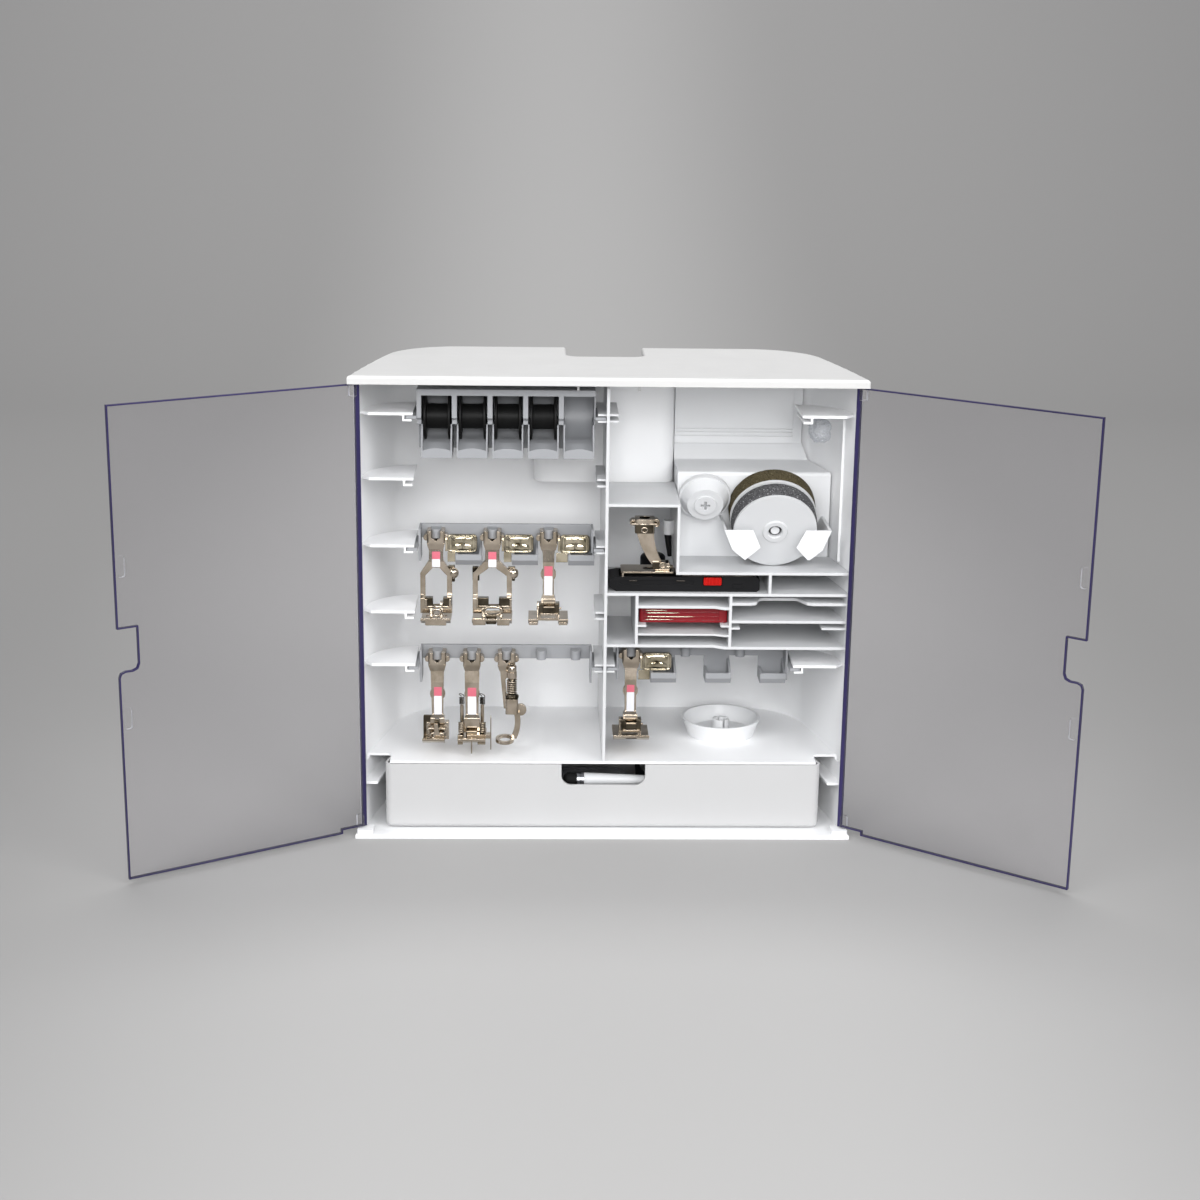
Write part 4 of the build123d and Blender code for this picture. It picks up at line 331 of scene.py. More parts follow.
@dataclass(frozen=True)
class ClearSheet:
    """Clear sheet or film: mostly see-through, with a faint tint, haze and a clean reflection.

    Attributes:
        name: the material's name.
        tint: colour that light takes on its way through.
        haze: share of the surface that scatters like a thin white film.
        rough: roughness of the reflection.
        ripple: bump strength of the waviness.
        skin: colour of the haze and of what the reflection lies on.
        wave: noise scale of the waviness.
        wave_depth: height of the waviness.
        speck: noise scale of the haze.
        spread: lowest and highest haze, as shares of the mean.
        index: index of refraction.
    """

    name: str
    tint: Color
    haze: float = 0.04
    rough: float = 0.05
    ripple: float = 0.02
    skin: Color = (0.82, 0.83, 0.86)
    wave: float = 40.0
    wave_depth: float = 2.0 * MM
    speck: float = 90.0
    spread: tuple[float, float] = (0.7, 1.3)
    index: float = 1.45

    def build(self) -> Material:
        """Returns the node material."""
        made, tree, out = start_material(self.name)
        clear = tree.nodes.new("ShaderNodeBsdfTransparent")
        clear.inputs["Color"].default_value = (*self.tint, 1.0)
        gloss = tree.nodes.new("ShaderNodeBsdfPrincipled")
        gloss.inputs["Base Color"].default_value = (*self.skin, 1.0)
        gloss.inputs["Roughness"].default_value = self.rough
        waves = add_noise(tree, self.wave, detail=3.0)
        add_bump(tree, gloss, waves.outputs["Fac"], self.ripple, self.wave_depth)
        fresnel = tree.nodes.new("ShaderNodeFresnel")
        fresnel.inputs["IOR"].default_value = self.index
        specks = add_noise(tree, self.speck, detail=6.0)
        low, high = (self.haze * share for share in self.spread)
        veil = add_range(tree, specks.outputs["Fac"], low, high)
        mask = tree.nodes.new("ShaderNodeMath")
        mask.operation = "MAXIMUM"
        mask.use_clamp = True
        tree.links.new(fresnel.outputs["Fac"], mask.inputs[0])
        tree.links.new(veil.outputs["Result"], mask.inputs[1])
        mix = tree.nodes.new("ShaderNodeMixShader")
        tree.links.new(mask.outputs["Value"], mix.inputs["Fac"])
        tree.links.new(clear.outputs["BSDF"], mix.inputs[1])
        tree.links.new(gloss.outputs["BSDF"], mix.inputs[2])
        tree.links.new(mix.outputs["Shader"], out.inputs["Surface"])
        return made


@dataclass(frozen=True)
class FoamFinish:
    """Open-cell foam: lighter struts, with painted shade deep in the pores.

    Attributes:
        name: the material's name.
        strut: colour of the foam's skin.
        pore_shade: painted shade deep in the cells.
        fleck: colour of the few bright specks.
        rough: roughness.
        gloss: strength of the mirror layer.
        cell: cells per metre.
        wall: distances from a cell's middle where the painted shade ends and the strut begins.
        grain: bump strength of the cells.
        cell_depth: depth of a cell.
        speck: noise scale of the bright specks.
        bright: noise values where a speck begins and where it is fully bright.
    """

    name: str
    strut: Color
    pore_shade: Color
    fleck: Color
    rough: float = 0.95
    gloss: float = 0.1
    cell: float = 1100.0
    wall: tuple[float, float] = (0.15, 0.55)
    grain: float = 0.8
    cell_depth: float = 0.6 * MM
    speck: float = 1300.0
    bright: tuple[float, float] = (0.66, 0.72)

    def build(self) -> Material:
        """Returns the node material."""
        made, tree, out = start_material(self.name)
        shader = tree.nodes.new("ShaderNodeBsdfPrincipled")
        shader.inputs["Roughness"].default_value = self.rough
        shader.inputs["Specular IOR Level"].default_value = self.gloss
        coords = tree.nodes.new("ShaderNodeTexCoord")
        cells = tree.nodes.new("ShaderNodeTexVoronoi")
        cells.inputs["Scale"].default_value = self.cell
        tree.links.new(coords.outputs["Object"], cells.inputs["Vector"])
        # painted shade: darker towards each cell's middle, where the pore is
        ramp = add_ramp(tree, cells.outputs["Distance"], self.pore_shade, self.strut, *self.wall)
        specks = add_noise(tree, self.speck, detail=1.0)
        spread = add_ramp(tree, specks.outputs["Fac"], (0.0,) * 3, (1.0,) * 3, *self.bright)
        blend = tree.nodes.new("ShaderNodeMix")
        blend.data_type = "RGBA"
        # the colour sockets of a Mix node: 0 factor, 6 and 7 colours, 2 result
        blend.inputs[7].default_value = (*self.fleck, 1.0)
        tree.links.new(spread.outputs["Color"], blend.inputs[0])
        tree.links.new(ramp.outputs["Color"], blend.inputs[6])
        tree.links.new(blend.outputs[2], shader.inputs["Base Color"])
        add_bump(tree, shader, cells.outputs["Distance"], self.grain, self.cell_depth)
        tree.links.new(shader.outputs["BSDF"], out.inputs["Surface"])
        return made


class Palette:
    """Every finish of the model, built once by name."""

    def __init__(self) -> None:
        """Builds the finishes."""
        inner = (0.34, 0.46)
        finishes = (
            MouldedPlastic("shell_white", (0.88, 0.885, 0.895), subsurface=0.05),
            # the same white plastic in darker and lighter copies: painted shade on the lid, the
            # drawer and the inner parts, painted light on the recessed insert and dish
            MouldedPlastic("lid_white_painted_shade", (0.60, 0.597, 0.591), subsurface=0.05),
            MouldedPlastic("drawer_white_painted_shade", (0.51, 0.51, 0.512), subsurface=0.05),
            MouldedPlastic("inner_white_painted_shade", (0.61, 0.617, 0.628), rough=inner, subsurface=0.05),
            MouldedPlastic("insert_white_painted_light", (0.76, 0.768, 0.78), rough=inner, subsurface=0.05),
            # grey plastic, made darker to paint the shade in the racks' scoops
            MouldedPlastic("rack_grey_painted_shade", (0.295, 0.302, 0.317), rough=(0.4, 0.52)),
            MouldedPlastic(
                "bobbin_black", (0.006, 0.006, 0.006),
                drift=0.3, rough=(0.4, 0.5), grain=0.12, gloss=0.12,
            ),
            MouldedPlastic(
                "satin_black", (0.008, 0.008, 0.009),
                drift=0.3, rough=(0.35, 0.5), grain=0.15, gloss=0.15,
            ),
            MouldedPlastic(
                "case_red", (0.23, 0.008, 0.014),
                drift=0.2, rough=(0.08, 0.16), grain=0.03, gloss=0.35,
            ),
            MouldedPlastic(
                "button_red", (0.50, 0.005, 0.002),
                drift=0.08, rough=(0.3, 0.4), grain=0.05, gloss=0.2,
            ),
            MouldedPlastic(
                "label_red", (0.60, 0.14, 0.19),
                drift=0.06, rough=(0.4, 0.55), grain=0.05, gloss=0.2,
            ),
            MouldedPlastic(
                "label_white", (0.74, 0.74, 0.77),
                drift=0.03, rough=(0.4, 0.55), grain=0.05, gloss=0.2,
            ),
            MouldedPlastic(
                "door_edge", (0.030, 0.024, 0.085),
                drift=0.25, rough=(0.1, 0.2), grain=0.02, gloss=0.3,
            ),
            MouldedPlastic(
                "rubber_black", (0.006, 0.006, 0.006),
                drift=0.2, rough=(0.6, 0.75), grain=0.3, gloss=0.15,
            ),
            PolishedMetal("nickel", (0.50, 0.43, 0.35), (0.36, 0.305, 0.235)),
            PolishedMetal("lens_metal", (0.56, 0.50, 0.38), (0.30, 0.26, 0.18), rough=(0.05, 0.12)),
            PolishedMetal(
                "shade_metal", (0.10, 0.083, 0.06), (0.04, 0.033, 0.023), rough=(0.12, 0.22),
            ),
            PolishedMetal("dark_wire", (0.10, 0.09, 0.08), (0.05, 0.045, 0.04), rough=(0.2, 0.3)),
            PolishedMetal(
                "bright_steel", (0.72, 0.73, 0.75), (0.56, 0.57, 0.60), rough=(0.06, 0.16),
            ),
            ClearSheet("door_clear", (0.90, 0.893, 0.897), haze=0.03),
            ClearSheet("bag_film", (0.93, 0.94, 0.95), haze=0.16, rough=0.08, ripple=0.5),
            FoamFinish("grey_foam", (0.10, 0.10, 0.104), (0.018, 0.018, 0.018), (0.55, 0.55, 0.56)),
            FoamFinish(
                "olive_foam", (0.085, 0.070, 0.040), (0.022, 0.018, 0.009), (0.22, 0.19, 0.12),
            ),
        )
        self.made = {finish.name: finish.build() for finish in finishes}

    def __getitem__(self, name: str) -> Material:
        """Returns the finish of that name."""
        return self.made[name]


# Surfaces

def grid_object(
    name: str, points: Array, finish: Material,
    wrap_u: bool = False, wrap_v: bool = False, smooth: bool = True,
) -> bpy.types.Object:
    """Makes a welded mesh from a grid of points, with its faces turned outwards.

    Args:
        name: the object's name.
        points: positions, shaped (rows, columns, 3), in metres.
        finish: the material.
        wrap_u: joins the last row to the first.
        wrap_v: joins the last column to the first.
        smooth: shades the surface smooth.
    Returns:
        The object.
    """
    rows, columns = points.shape[:2]
    index = np.arange(rows * columns).reshape(rows, columns)
    if wrap_u:
        index = np.vstack([index, index[:1]])
    if wrap_v:
        index = np.hstack([index, index[:, :1]])
    corners = (index[:-1, :-1], index[1:, :-1], index[1:, 1:], index[:-1, 1:])
    faces = np.stack(corners, axis=-1)
    mesh = bpy.data.meshes.new(name)
    mesh.from_pydata(points.reshape(-1, 3).tolist(), [], faces.reshape(-1, 4).tolist())
    welded = bmesh.new()
    welded.from_mesh(mesh)
    bmesh.ops.remove_doubles(welded, verts=welded.verts, dist=WELD)
    bmesh.ops.recalc_face_normals(welded, faces=welded.faces)
    welded.to_mesh(mesh)
    welded.free()
    if smooth:
        mesh.shade_smooth()
    mesh.materials.append(finish)
    made = bpy.data.objects.new(name, mesh)
    bpy.context.scene.collection.objects.link(made)
    return made


def signed_power(value: Array, power: float) -> Array:
    """Returns |value| raised to power, with value's sign."""
    return np.sign(value) * np.abs(value) ** power


def rounded_block(middle: Vec, half: Vec, square: float, count: int) -> Array:
    """Works out a closed block with soft edges.

    The surface is a superellipsoid: latitude v and longitude u give x = a c(v) c(u),
    y = b c(v) s(u) and z = h s(v), where c and s are the cosine and sine raised to
    a small power, which squares the ball off.

    Args:
        middle: centre, in any unit.
        half: half sizes a, b and h, in the same unit.
        square: the power; small is square, 1 is a ball.
        count: samples along each way.
    Returns:
        Points, shaped (count, 2 count, 3), to wrap along v.
    """
    v = np.linspace(-HALF_TURN / 2, HALF_TURN / 2, count)[:, None]
    u = np.linspace(0.0, FULL_TURN, 2 * count, endpoint=False)[None, :]
    ring = np.maximum(np.cos(v), 0.0) ** square
    shape = np.stack([
        half[0] * ring * signed_power(np.cos(u), square),
        half[1] * ring * signed_power(np.sin(u), square),
        half[2] * signed_power(np.sin(v), square) * np.ones_like(u),
    ], axis=-1)
    return shape + np.asarray(middle)


def turned_points(base: Vec, axis: Vec, profile: Array, count: int) -> Array:
    """Carries a profile of (radius, distance along the axis) once round an axis.

    Args:
        base: point on the axis where the distance is nought.
        axis: the axis direction.
        profile: shaped (n, 2), in the same unit as base.
        count: samples round the axis.
    Returns:
        Points, shaped (count, n, 3), to wrap along u.
    """
    along = np.asarray(axis, float) / np.linalg.norm(axis)
    guide = (1.0, 0.0, 0.0) if abs(along[0]) < 0.8 else (0.0, 1.0, 0.0)
    side = np.cross(along, guide)
    side /= np.linalg.norm(side)
    other = np.cross(along, side)
    angle = np.linspace(0.0, FULL_TURN, count, endpoint=False)[:, None, None]
    radius = profile[None, :, 0, None]
    rise = profile[None, :, 1, None]
    outward = np.cos(angle) * side + np.sin(angle) * other
    return np.asarray(base) + radius * outward + rise * along


def tube_points(path: Array, radius: Array, guide: Point, sides: int) -> Array:
    """Carries a circle along a path, square to it at each point.

    Args:
        path: points, shaped (n, 3).
        radius: the circle's radius at each point; nought closes an end.
        guide: a direction that the path never follows.
        sides: samples round the circle.
    Returns:
        Points, shaped (n, sides, 3), to wrap along v.
    """
    run = np.gradient(path, axis=0)
    run /= np.linalg.norm(run, axis=1, keepdims=True)
    across = np.cross(run, np.asarray(guide))
    across /= np.linalg.norm(across, axis=1, keepdims=True)
    over = np.cross(run, across)
    turn = np.linspace(0.0, FULL_TURN, sides, endpoint=False)[None, :, None]
    circle = np.cos(turn) * across[:, None] + np.sin(turn) * over[:, None]
    return path[:, None] + np.asarray(radius)[:, None, None] * circle


def settle(piece: bpy.types.Object, body: Body, slot: str, *nodes: str) -> None:
    """Gives a piece its body, and hides the CAD nodes that it stands for.

    Args:
        piece: the piece.
        body: the body that it rides on.
        slot: the record's material slot; not used.
        nodes: the CAD nodes that it replaces.
    """
    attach(piece, body.value)
    if nodes:
        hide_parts(*nodes)
    LOG.info("%s on %s", piece.name, body.value)


@dataclass(frozen=True)
class CameraPose:
    """The photograph's camera.

    Attributes:
        place: position in metres.
        pitch: degrees below the horizon.
        yaw: degrees turned towards +X.
        roll: degrees turned about the view.
        lens: focal length.
        sensor: width of the frame.
    """

    place: Point = (-0.0386, -1.2233, 0.4665)
    pitch: float = 15.29
    yaw: float = 1.72
    roll: float = 0.78
    lens: float = 61.97
    sensor: float = 36.0

    def add(self) -> None:
        """Makes the camera and sets it on the scene."""
        pitch, yaw, roll = (math.radians(v) for v in (self.pitch, self.yaw, self.roll))
        level = math.cos(pitch)
        ahead = Vector((math.sin(yaw) * level, math.cos(yaw) * level, -math.sin(pitch)))
        right = Vector((math.cos(yaw), -math.sin(yaw), 0.0))
        up = right.cross(ahead)
        across = right * math.cos(roll) + up * math.sin(roll)
        upward = up * math.cos(roll) - right * math.sin(roll)
        turn = Matrix((across, upward, -ahead)).transposed().to_4x4()
        data = bpy.data.cameras.new("photo_camera")
        data.lens = self.lens
        data.sensor_width = self.sensor
        camera = bpy.data.objects.new("photo_camera", data)
        camera.matrix_world = Matrix.Translation(self.place) @ turn
        bpy.context.scene.collection.objects.link(camera)
        bpy.context.scene.camera = camera


@dataclass(frozen=True)
class SoftBox:
    """One square soft light.

    Attributes:
        name: the light's name.
        place: its middle.
        target: the point that it faces.
        size: length of its side.
        watts: its power.
    """

    name: str
    place: Point
    target: Point
    size: float
    watts: float

    def add(self) -> None:
        """Adds the light to the scene."""
        data = bpy.data.lights.new(self.name, "AREA")
        data.shape = "SQUARE"
        data.size = self.size
        data.energy = self.watts
        lamp = bpy.data.objects.new(self.name, data)
        lamp.location = self.place
        ahead = Vector(self.target) - Vector(self.place)
        lamp.rotation_euler = ahead.to_track_quat("-Z", "Y").to_euler()
        bpy.context.scene.collection.objects.link(lamp)


SHELF_MIDDLE = (0.0, 0.0, 0.14)
LIGHTS = (
    SoftBox("left_box", (-1.2, -1.45, 1.45), SHELF_MIDDLE, 1.1, 20.0),
    SoftBox("right_box", (1.2, -1.45, 1.35), SHELF_MIDDLE, 1.1, 23.0),
    SoftBox("front_box", (0.0, -2.0, 0.8), SHELF_MIDDLE, 0.8, 25.0),
    SoftBox("top_box", (0.0, -0.1, 2.1), (0.0, 0.0, 0.1), 1.4, 8.0),
    SoftBox("wall_wash", (0.0, 1.0, 2.3), (0.0, 2.6, 0.5), 1.6, 50.0),
)


@dataclass(frozen=True)
class Studio:
    """Floor, sweep with a painted pool of light, soft lights and world.

    Attributes:
        far: the sweep's tone away from the box.
        near: its tone round the box, where a pool of light is painted.
        offset: shift of the painted pool of light, after its stretch.
        stretch: one over the painted pool's half size along each axis.
        full: gradient value where the tone is wholly near.
        rough: the sweep's roughness.
        front: the floor's front edge.
        back: where the flat floor's last long strip ends.
        bend: where the floor begins to rise.
        radius: radius of the bend.
        height: height of the wall.
        reach: half width of the sweep.
        sky: colour of the world.
        strength: strength of the world.
    """

    far: Color = (0.23, 0.2265, 0.224)
    near: Color = (0.39, 0.385, 0.381)
    offset: Point = (0.0, 0.12, 0.0)
    stretch: Point = (2.0, 0.22, 0.2)
    full: float = 0.85
    rough: float = 0.85
    front: float = -4.0
    back: float = 0.6
    bend: float = 1.4
    radius: float = 1.2
    height: float = 4.0
    reach: float = 5.0
    sky: Color = (0.80, 0.82, 0.86)
    strength: float = 0.40

    def sweep_finish(self) -> Material:
        """Returns the sweep's material: a painted pool of light that fades outwards."""
        made, tree, out = start_material("studio_sweep")
        shader = tree.nodes.new("ShaderNodeBsdfPrincipled")
        shader.inputs["Roughness"].default_value = self.rough
        coords = tree.nodes.new("ShaderNodeTexCoord")
        mapping = tree.nodes.new("ShaderNodeMapping")
        mapping.inputs["Location"].default_value = self.offset
        mapping.inputs["Scale"].default_value = self.stretch
        # painted pool of light round the box, fading outwards
        painted_light_pool = tree.nodes.new("ShaderNodeTexGradient")
        painted_light_pool.gradient_type = "SPHERICAL"
        tree.links.new(coords.outputs["Object"], mapping.inputs["Vector"])
        tree.links.new(mapping.outputs["Vector"], painted_light_pool.inputs["Vector"])
        ramp = add_ramp(tree, painted_light_pool.outputs["Fac"], self.far, self.near, 0.0, self.full)
        ramp.color_ramp.interpolation = "EASE"
        tree.links.new(ramp.outputs["Color"], shader.inputs["Base Color"])
        tree.links.new(shader.outputs["BSDF"], out.inputs["Surface"])
        return made

    def add_sweep(self) -> None:
        """Makes the sweep: a section of flat floor, quarter bend and upright wall, drawn out."""
        turn = np.linspace(0.0, HALF_TURN / 2, 24)
        wall = self.bend + self.radius
        run = np.concatenate([
            [self.front, self.back], self.bend + self.radius * np.sin(turn), [wall],
        ])
        rise = np.concatenate([
            [0.0, 0.0], self.radius - self.radius * np.cos(turn), [self.height],
        ])
        across = np.linspace(-self.reach, self.reach, 3)
        grid = np.zeros((len(run), len(across), 3))
        grid[..., 0] = across[None, :]
        grid[..., 1] = run[:, None]
        grid[..., 2] = rise[:, None]
        grid_object("sweep", grid[:, ::-1], self.sweep_finish())

    def add(self) -> None:
        """Builds the sweep, the lights and the world."""
        self.add_sweep()
        for light in LIGHTS:
            light.add()
        world = bpy.data.worlds.new("studio_world")
        world.use_nodes = True
        background = world.node_tree.nodes["Background"]
        background.inputs["Color"].default_value = (*self.sky, 1.0)
        background.inputs["Strength"].default_value = self.strength
        scene = bpy.context.scene
        scene.world = world
        scene.view_settings.view_transform = "Standard"


@dataclass(frozen=True)
class DoorRim:
    """Dark edge of a clear door: the sheet's cut edges gather its colour.

    Attributes:
        body: the door.
        turn: -1 for the left door and 1 for the right.
        angle: degrees that the door stands open.
        bottom: height of the sheet's lower edge.
        top: height of its upper edge.
        width: how far in from the cut edge the colour shows.
        tail_width: the same along the hinge.
        notch_low: height of the finger notch's lower side.
        notch_high: height of its upper side.
        notch_reach: depth of the notch.
        heel: length of the cut corner at the hinge.
        heel_bottom: height of that cut corner.
        corner: size of the notch's rounded corners.
        nip: how far those corners' middles lie from the sides.
        proud: how far the band stands off the sheet.
    """

    body: Body
    turn: int
    angle: float
    bottom: float = 3.2 * MM
    top: float = 273.9 * MM
    notch_low: float = 125.5 * MM
    notch_high: float = 150.0 * MM
    notch_reach: float = 11.5 * MM
    heel: float = 12.0 * MM
    heel_bottom: float = 5.6 * MM
    width: float = 0.7 * MM
    tail_width: float = 2.4 * MM
    corner: float = 3.5 * MM
    nip: float = 1.0 * MM
    proud: float = 0.05 * MM

    def outline(self) -> tuple[Array, Array]:
        """Returns the sheet's corners and the width of the run that starts at each."""
        far = DOOR_LENGTH
        near = DOOR_LENGTH - self.notch_reach
        low = self.notch_low
        corners = np.array((
            (-DOOR_TAIL, self.heel_bottom), (-DOOR_TAIL, self.top), (far, self.top),
            (far, self.notch_high), (near, self.notch_high), (near, low + self.corner),
            (near + self.nip, low + self.nip), (near + self.corner, low), (far - self.corner, low),
            (far - self.nip, low - self.nip), (far, low - self.corner), (far, self.bottom),
            (self.heel, self.bottom), (self.heel, self.heel_bottom),
        ))
        width = np.full(len(corners), self.width)
        width[0] = self.tail_width
        return corners, width

    def build(self, palette: Palette) -> None:
        """Makes the closed band.

        Each run of the outline is moved in by its width, and the inner corner is where
        two moved runs meet: p + (w2 d1 - w1 d2) / (d1 x d2). The section is a thin
        rectangle a hair proud of the sheet.
        """
        outer, width = self.outline()
        width = width[:, None]
        run = np.roll(outer, -1, axis=0) - outer
        run /= np.linalg.norm(run, axis=1, keepdims=True)
        before = np.roll(run, 1, axis=0)
        before_width = np.roll(width, 1, axis=0)
        cross = (before[:, 0] * run[:, 1] - before[:, 1] * run[:, 0])[:, None]
        step = (width * before - before_width * run) / cross
        inner = outer + step
        grown = outer - step * self.proud / np.maximum(width, before_width)
        thick = DOOR_HALF + self.proud
        ring = np.stack([grown, inner, inner, grown], axis=1)
        level = np.array((thick, thick, -thick, -thick))
        swing = math.radians(self.angle)
        along = np.array((-self.turn * math.cos(swing), -math.sin(swing), 0.0))
        square = np.array((along[1], -along[0], 0.0))
        hinge = np.array((self.turn * HINGE_X, HINGE_Y, 0.0))
        upward = np.array((0.0, 0.0, 1.0))
        points = hinge + ring[..., 0:1] * along + ring[..., 1:2] * upward
        points += level[None, :, None] * square
        name = f"{self.body.value}_rim"
        rim = grid_object(name, points, palette["door_edge"], True, True, False)
        settle(rim, self.body, "clear_door")


@dataclass(frozen=True)
class FoamPad:
    """Soft foam disc on the leaning peg.

    Attributes:
        node: the CAD disc that the pad stands for.
        slot: the record's material slot.
        finish: the palette's finish.
        start: distance behind the front disc's face.
        radius: the pad's radius.
        seed: seed of the fine unevenness.
        thick: the pad's thickness.
        bore: radius of the hole for the peg.
        square: how square the section is; small is square.
        swell: how far the rim's middle stands out.
        uneven: height of the unevenness.
        most: largest unevenness, as a multiple of that height.
        samples: points along the section and round the peg.
    """

    node: str
    slot: str
    finish: str
    start: float
    radius: float
    seed: int
    thick: float = 11.7 * MM
    bore: float = 2.8 * MM
    square: float = 0.16
    swell: float = 0.3 * MM
    uneven: float = 0.05 * MM
    most: float = 1.5
    samples: tuple[int, int] = (96, 300)

    def build(self, palette: Palette) -> None:
        """Makes the pad.

        The section is a squared-off ellipse between bore and rim, r = m + a c(t) and
        s = h s(t), whose rim swells by a parabola in s; it is carried round the peg,
        and a fine seeded unevenness moves each point away from the pad's middle.
        """
        along, around = self.samples
        t = np.linspace(0.0, FULL_TURN, along, endpoint=False)
        reach = (self.radius - self.bore) / 2
        across = signed_power(np.cos(t), self.square)
        rise = signed_power(np.sin(t), self.square)
        bulge = self.swell * np.maximum(across, 0.0) * (1.0 - rise ** 2)
        r = self.bore + reach * (1.0 + across) + bulge
        profile = np.stack([r, self.start + self.thick / 2 * (1.0 + rise)], axis=-1)
        axis = (0.0, math.cos(STACK_TILT), math.sin(STACK_TILT))
        points = turned_points(STACK_FACE, axis, profile, around)
        rng = np.random.default_rng(self.seed)
        rough = rng.normal(0.0, 1.0, points.shape[:2])
        # the sum of four draws over 2 has a spread of one again
        soft = rough + np.roll(rough, 1, 0) + np.roll(rough, 1, 1) + np.roll(rough, -1, 0)
        uneven = np.clip(soft / 2.0, -self.most, self.most) * self.uneven
        away = points - points.mean(axis=(0, 1))
        away /= np.linalg.norm(away, axis=-1, keepdims=True)
        points = points + away * uneven[..., None]
        pad = grid_object(f"{self.node}_soft", points, palette[self.finish], True, True)
        settle(pad, Body.CABINET, self.slot, self.node)


@dataclass(frozen=True)
class FilmBag:
    """Crumpled clear bag with something light in it.

    Attributes:
        node: the CAD solid that the bag stands for.
        body: what it lies on.
        seed: seed of the creases.
        crumple: mean depth of the creases as a share of the bag's size.
        square: how square the bag's outline is; small is square.
        creases: number of waves.
        pitch: slowest and fastest wave.
        sharp: power that narrows a wave to a crease.
        gain: multiplies the mean of the waves.
        most: deepest crease.
        samples: points from pole to pole.
    """

    node: str
    body: Body
    seed: int
    crumple: float = 0.12
    square: float = 0.45
    creases: int = 9
    pitch: tuple[float, float] = (1.5, 5.0)
    sharp: int = 3
    gain: float = 3.0
    most: float = 0.4
    samples: int = 90

    def build(self, palette: Palette) -> None:
        """Makes the bag inside its solid's box.

        The surface is a superellipsoid, drawn in by creases: the mean of sharp waves
        (1 - |sin(k . p + f)|)^3 with seeded directions k and phases f.
        """
        low, high = (np.array(v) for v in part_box(self.node))
        middle = (low + high) / 2
        half = (high - low) / 2
        points = rounded_block((0.0, 0.0, 0.0), half, self.square, self.samples)
        rng = np.random.default_rng(self.seed)
        waves = rng.normal(0.0, 1.0, (self.creases, 3))
        waves *= rng.uniform(*self.pitch, (self.creases, 1))
        phase = rng.uniform(0.0, PHASE_TOP, self.creases)
        folds = (1.0 - np.abs(np.sin(points / half @ waves.T + phase))) ** self.sharp
        depth = self.crumple * folds.mean(axis=-1) * self.gain
        points = middle + points * (1.0 - np.clip(depth, 0.0, self.most))[..., None]
        bag = grid_object(f"{self.node}_film", points, palette["bag_film"], False, True)
        settle(bag, self.body, "film", self.node)


@dataclass(frozen=True)
class FootLabel:
    """Two-coloured bare label on a foot's shank: red above white.

    Attributes:
        name: the foot.
        body: the rack that carries the foot.
        x: the foot's peg.
        rail: the height that the foot hangs from.
        left: left edge, from the peg.
        right: right edge, from the peg.
        levels: top, seam and bottom of the label, from the rail.
        thick: half thickness of the label.
        square: how square its corners are; small is square.
        front: depth of the shank's upright front.
        bend: depth of the shank's front where the slope starts.
        slope: how far the front comes forward over its run, and that run.
        slope_start: height where the slope starts, from the rail.
        samples: points from pole to pole.
    """

    name: str
    body: Body
    x: float
    rail: float
    left: float
    right: float
    levels: tuple[float, float, float]
    thick: float = 0.14
    square: float = 0.12
    front: float = 17.3
    bend: float = 18.5
    slope: tuple[float, float] = (1.2, 10.5)
    slope_start: float = -3.5
    samples: int = 24

    def build(self, palette: Palette) -> None:
        """Makes both halves.

        They follow the shank's front: upright low down, and above the bend sloping
        back by 1.2 in 10.5.
        """
        forward, over = self.slope
        for part, high, low in (("red", 0, 1), ("white", 1, 2)):
            top, foot = self.levels[high], self.levels[low]
            middle = (self.x + (self.left + self.right) / 2, 0.0, self.rail + (top + foot) / 2)
            half = ((self.right - self.left) / 2, self.thick, (top - foot) / 2)
            points = rounded_block(middle, half, self.square, self.samples)
            drop = self.slope_start - (points[..., 2] - self.rail)
            points[..., 1] += np.maximum(self.front, self.bend - forward * drop / over) + FRONT_MM
            name = f"{self.name}_label_{part}"
            label = grid_object(name, points * MM, palette[f"label_{part}"], False, True)
            settle(label, self.body, "nickel")


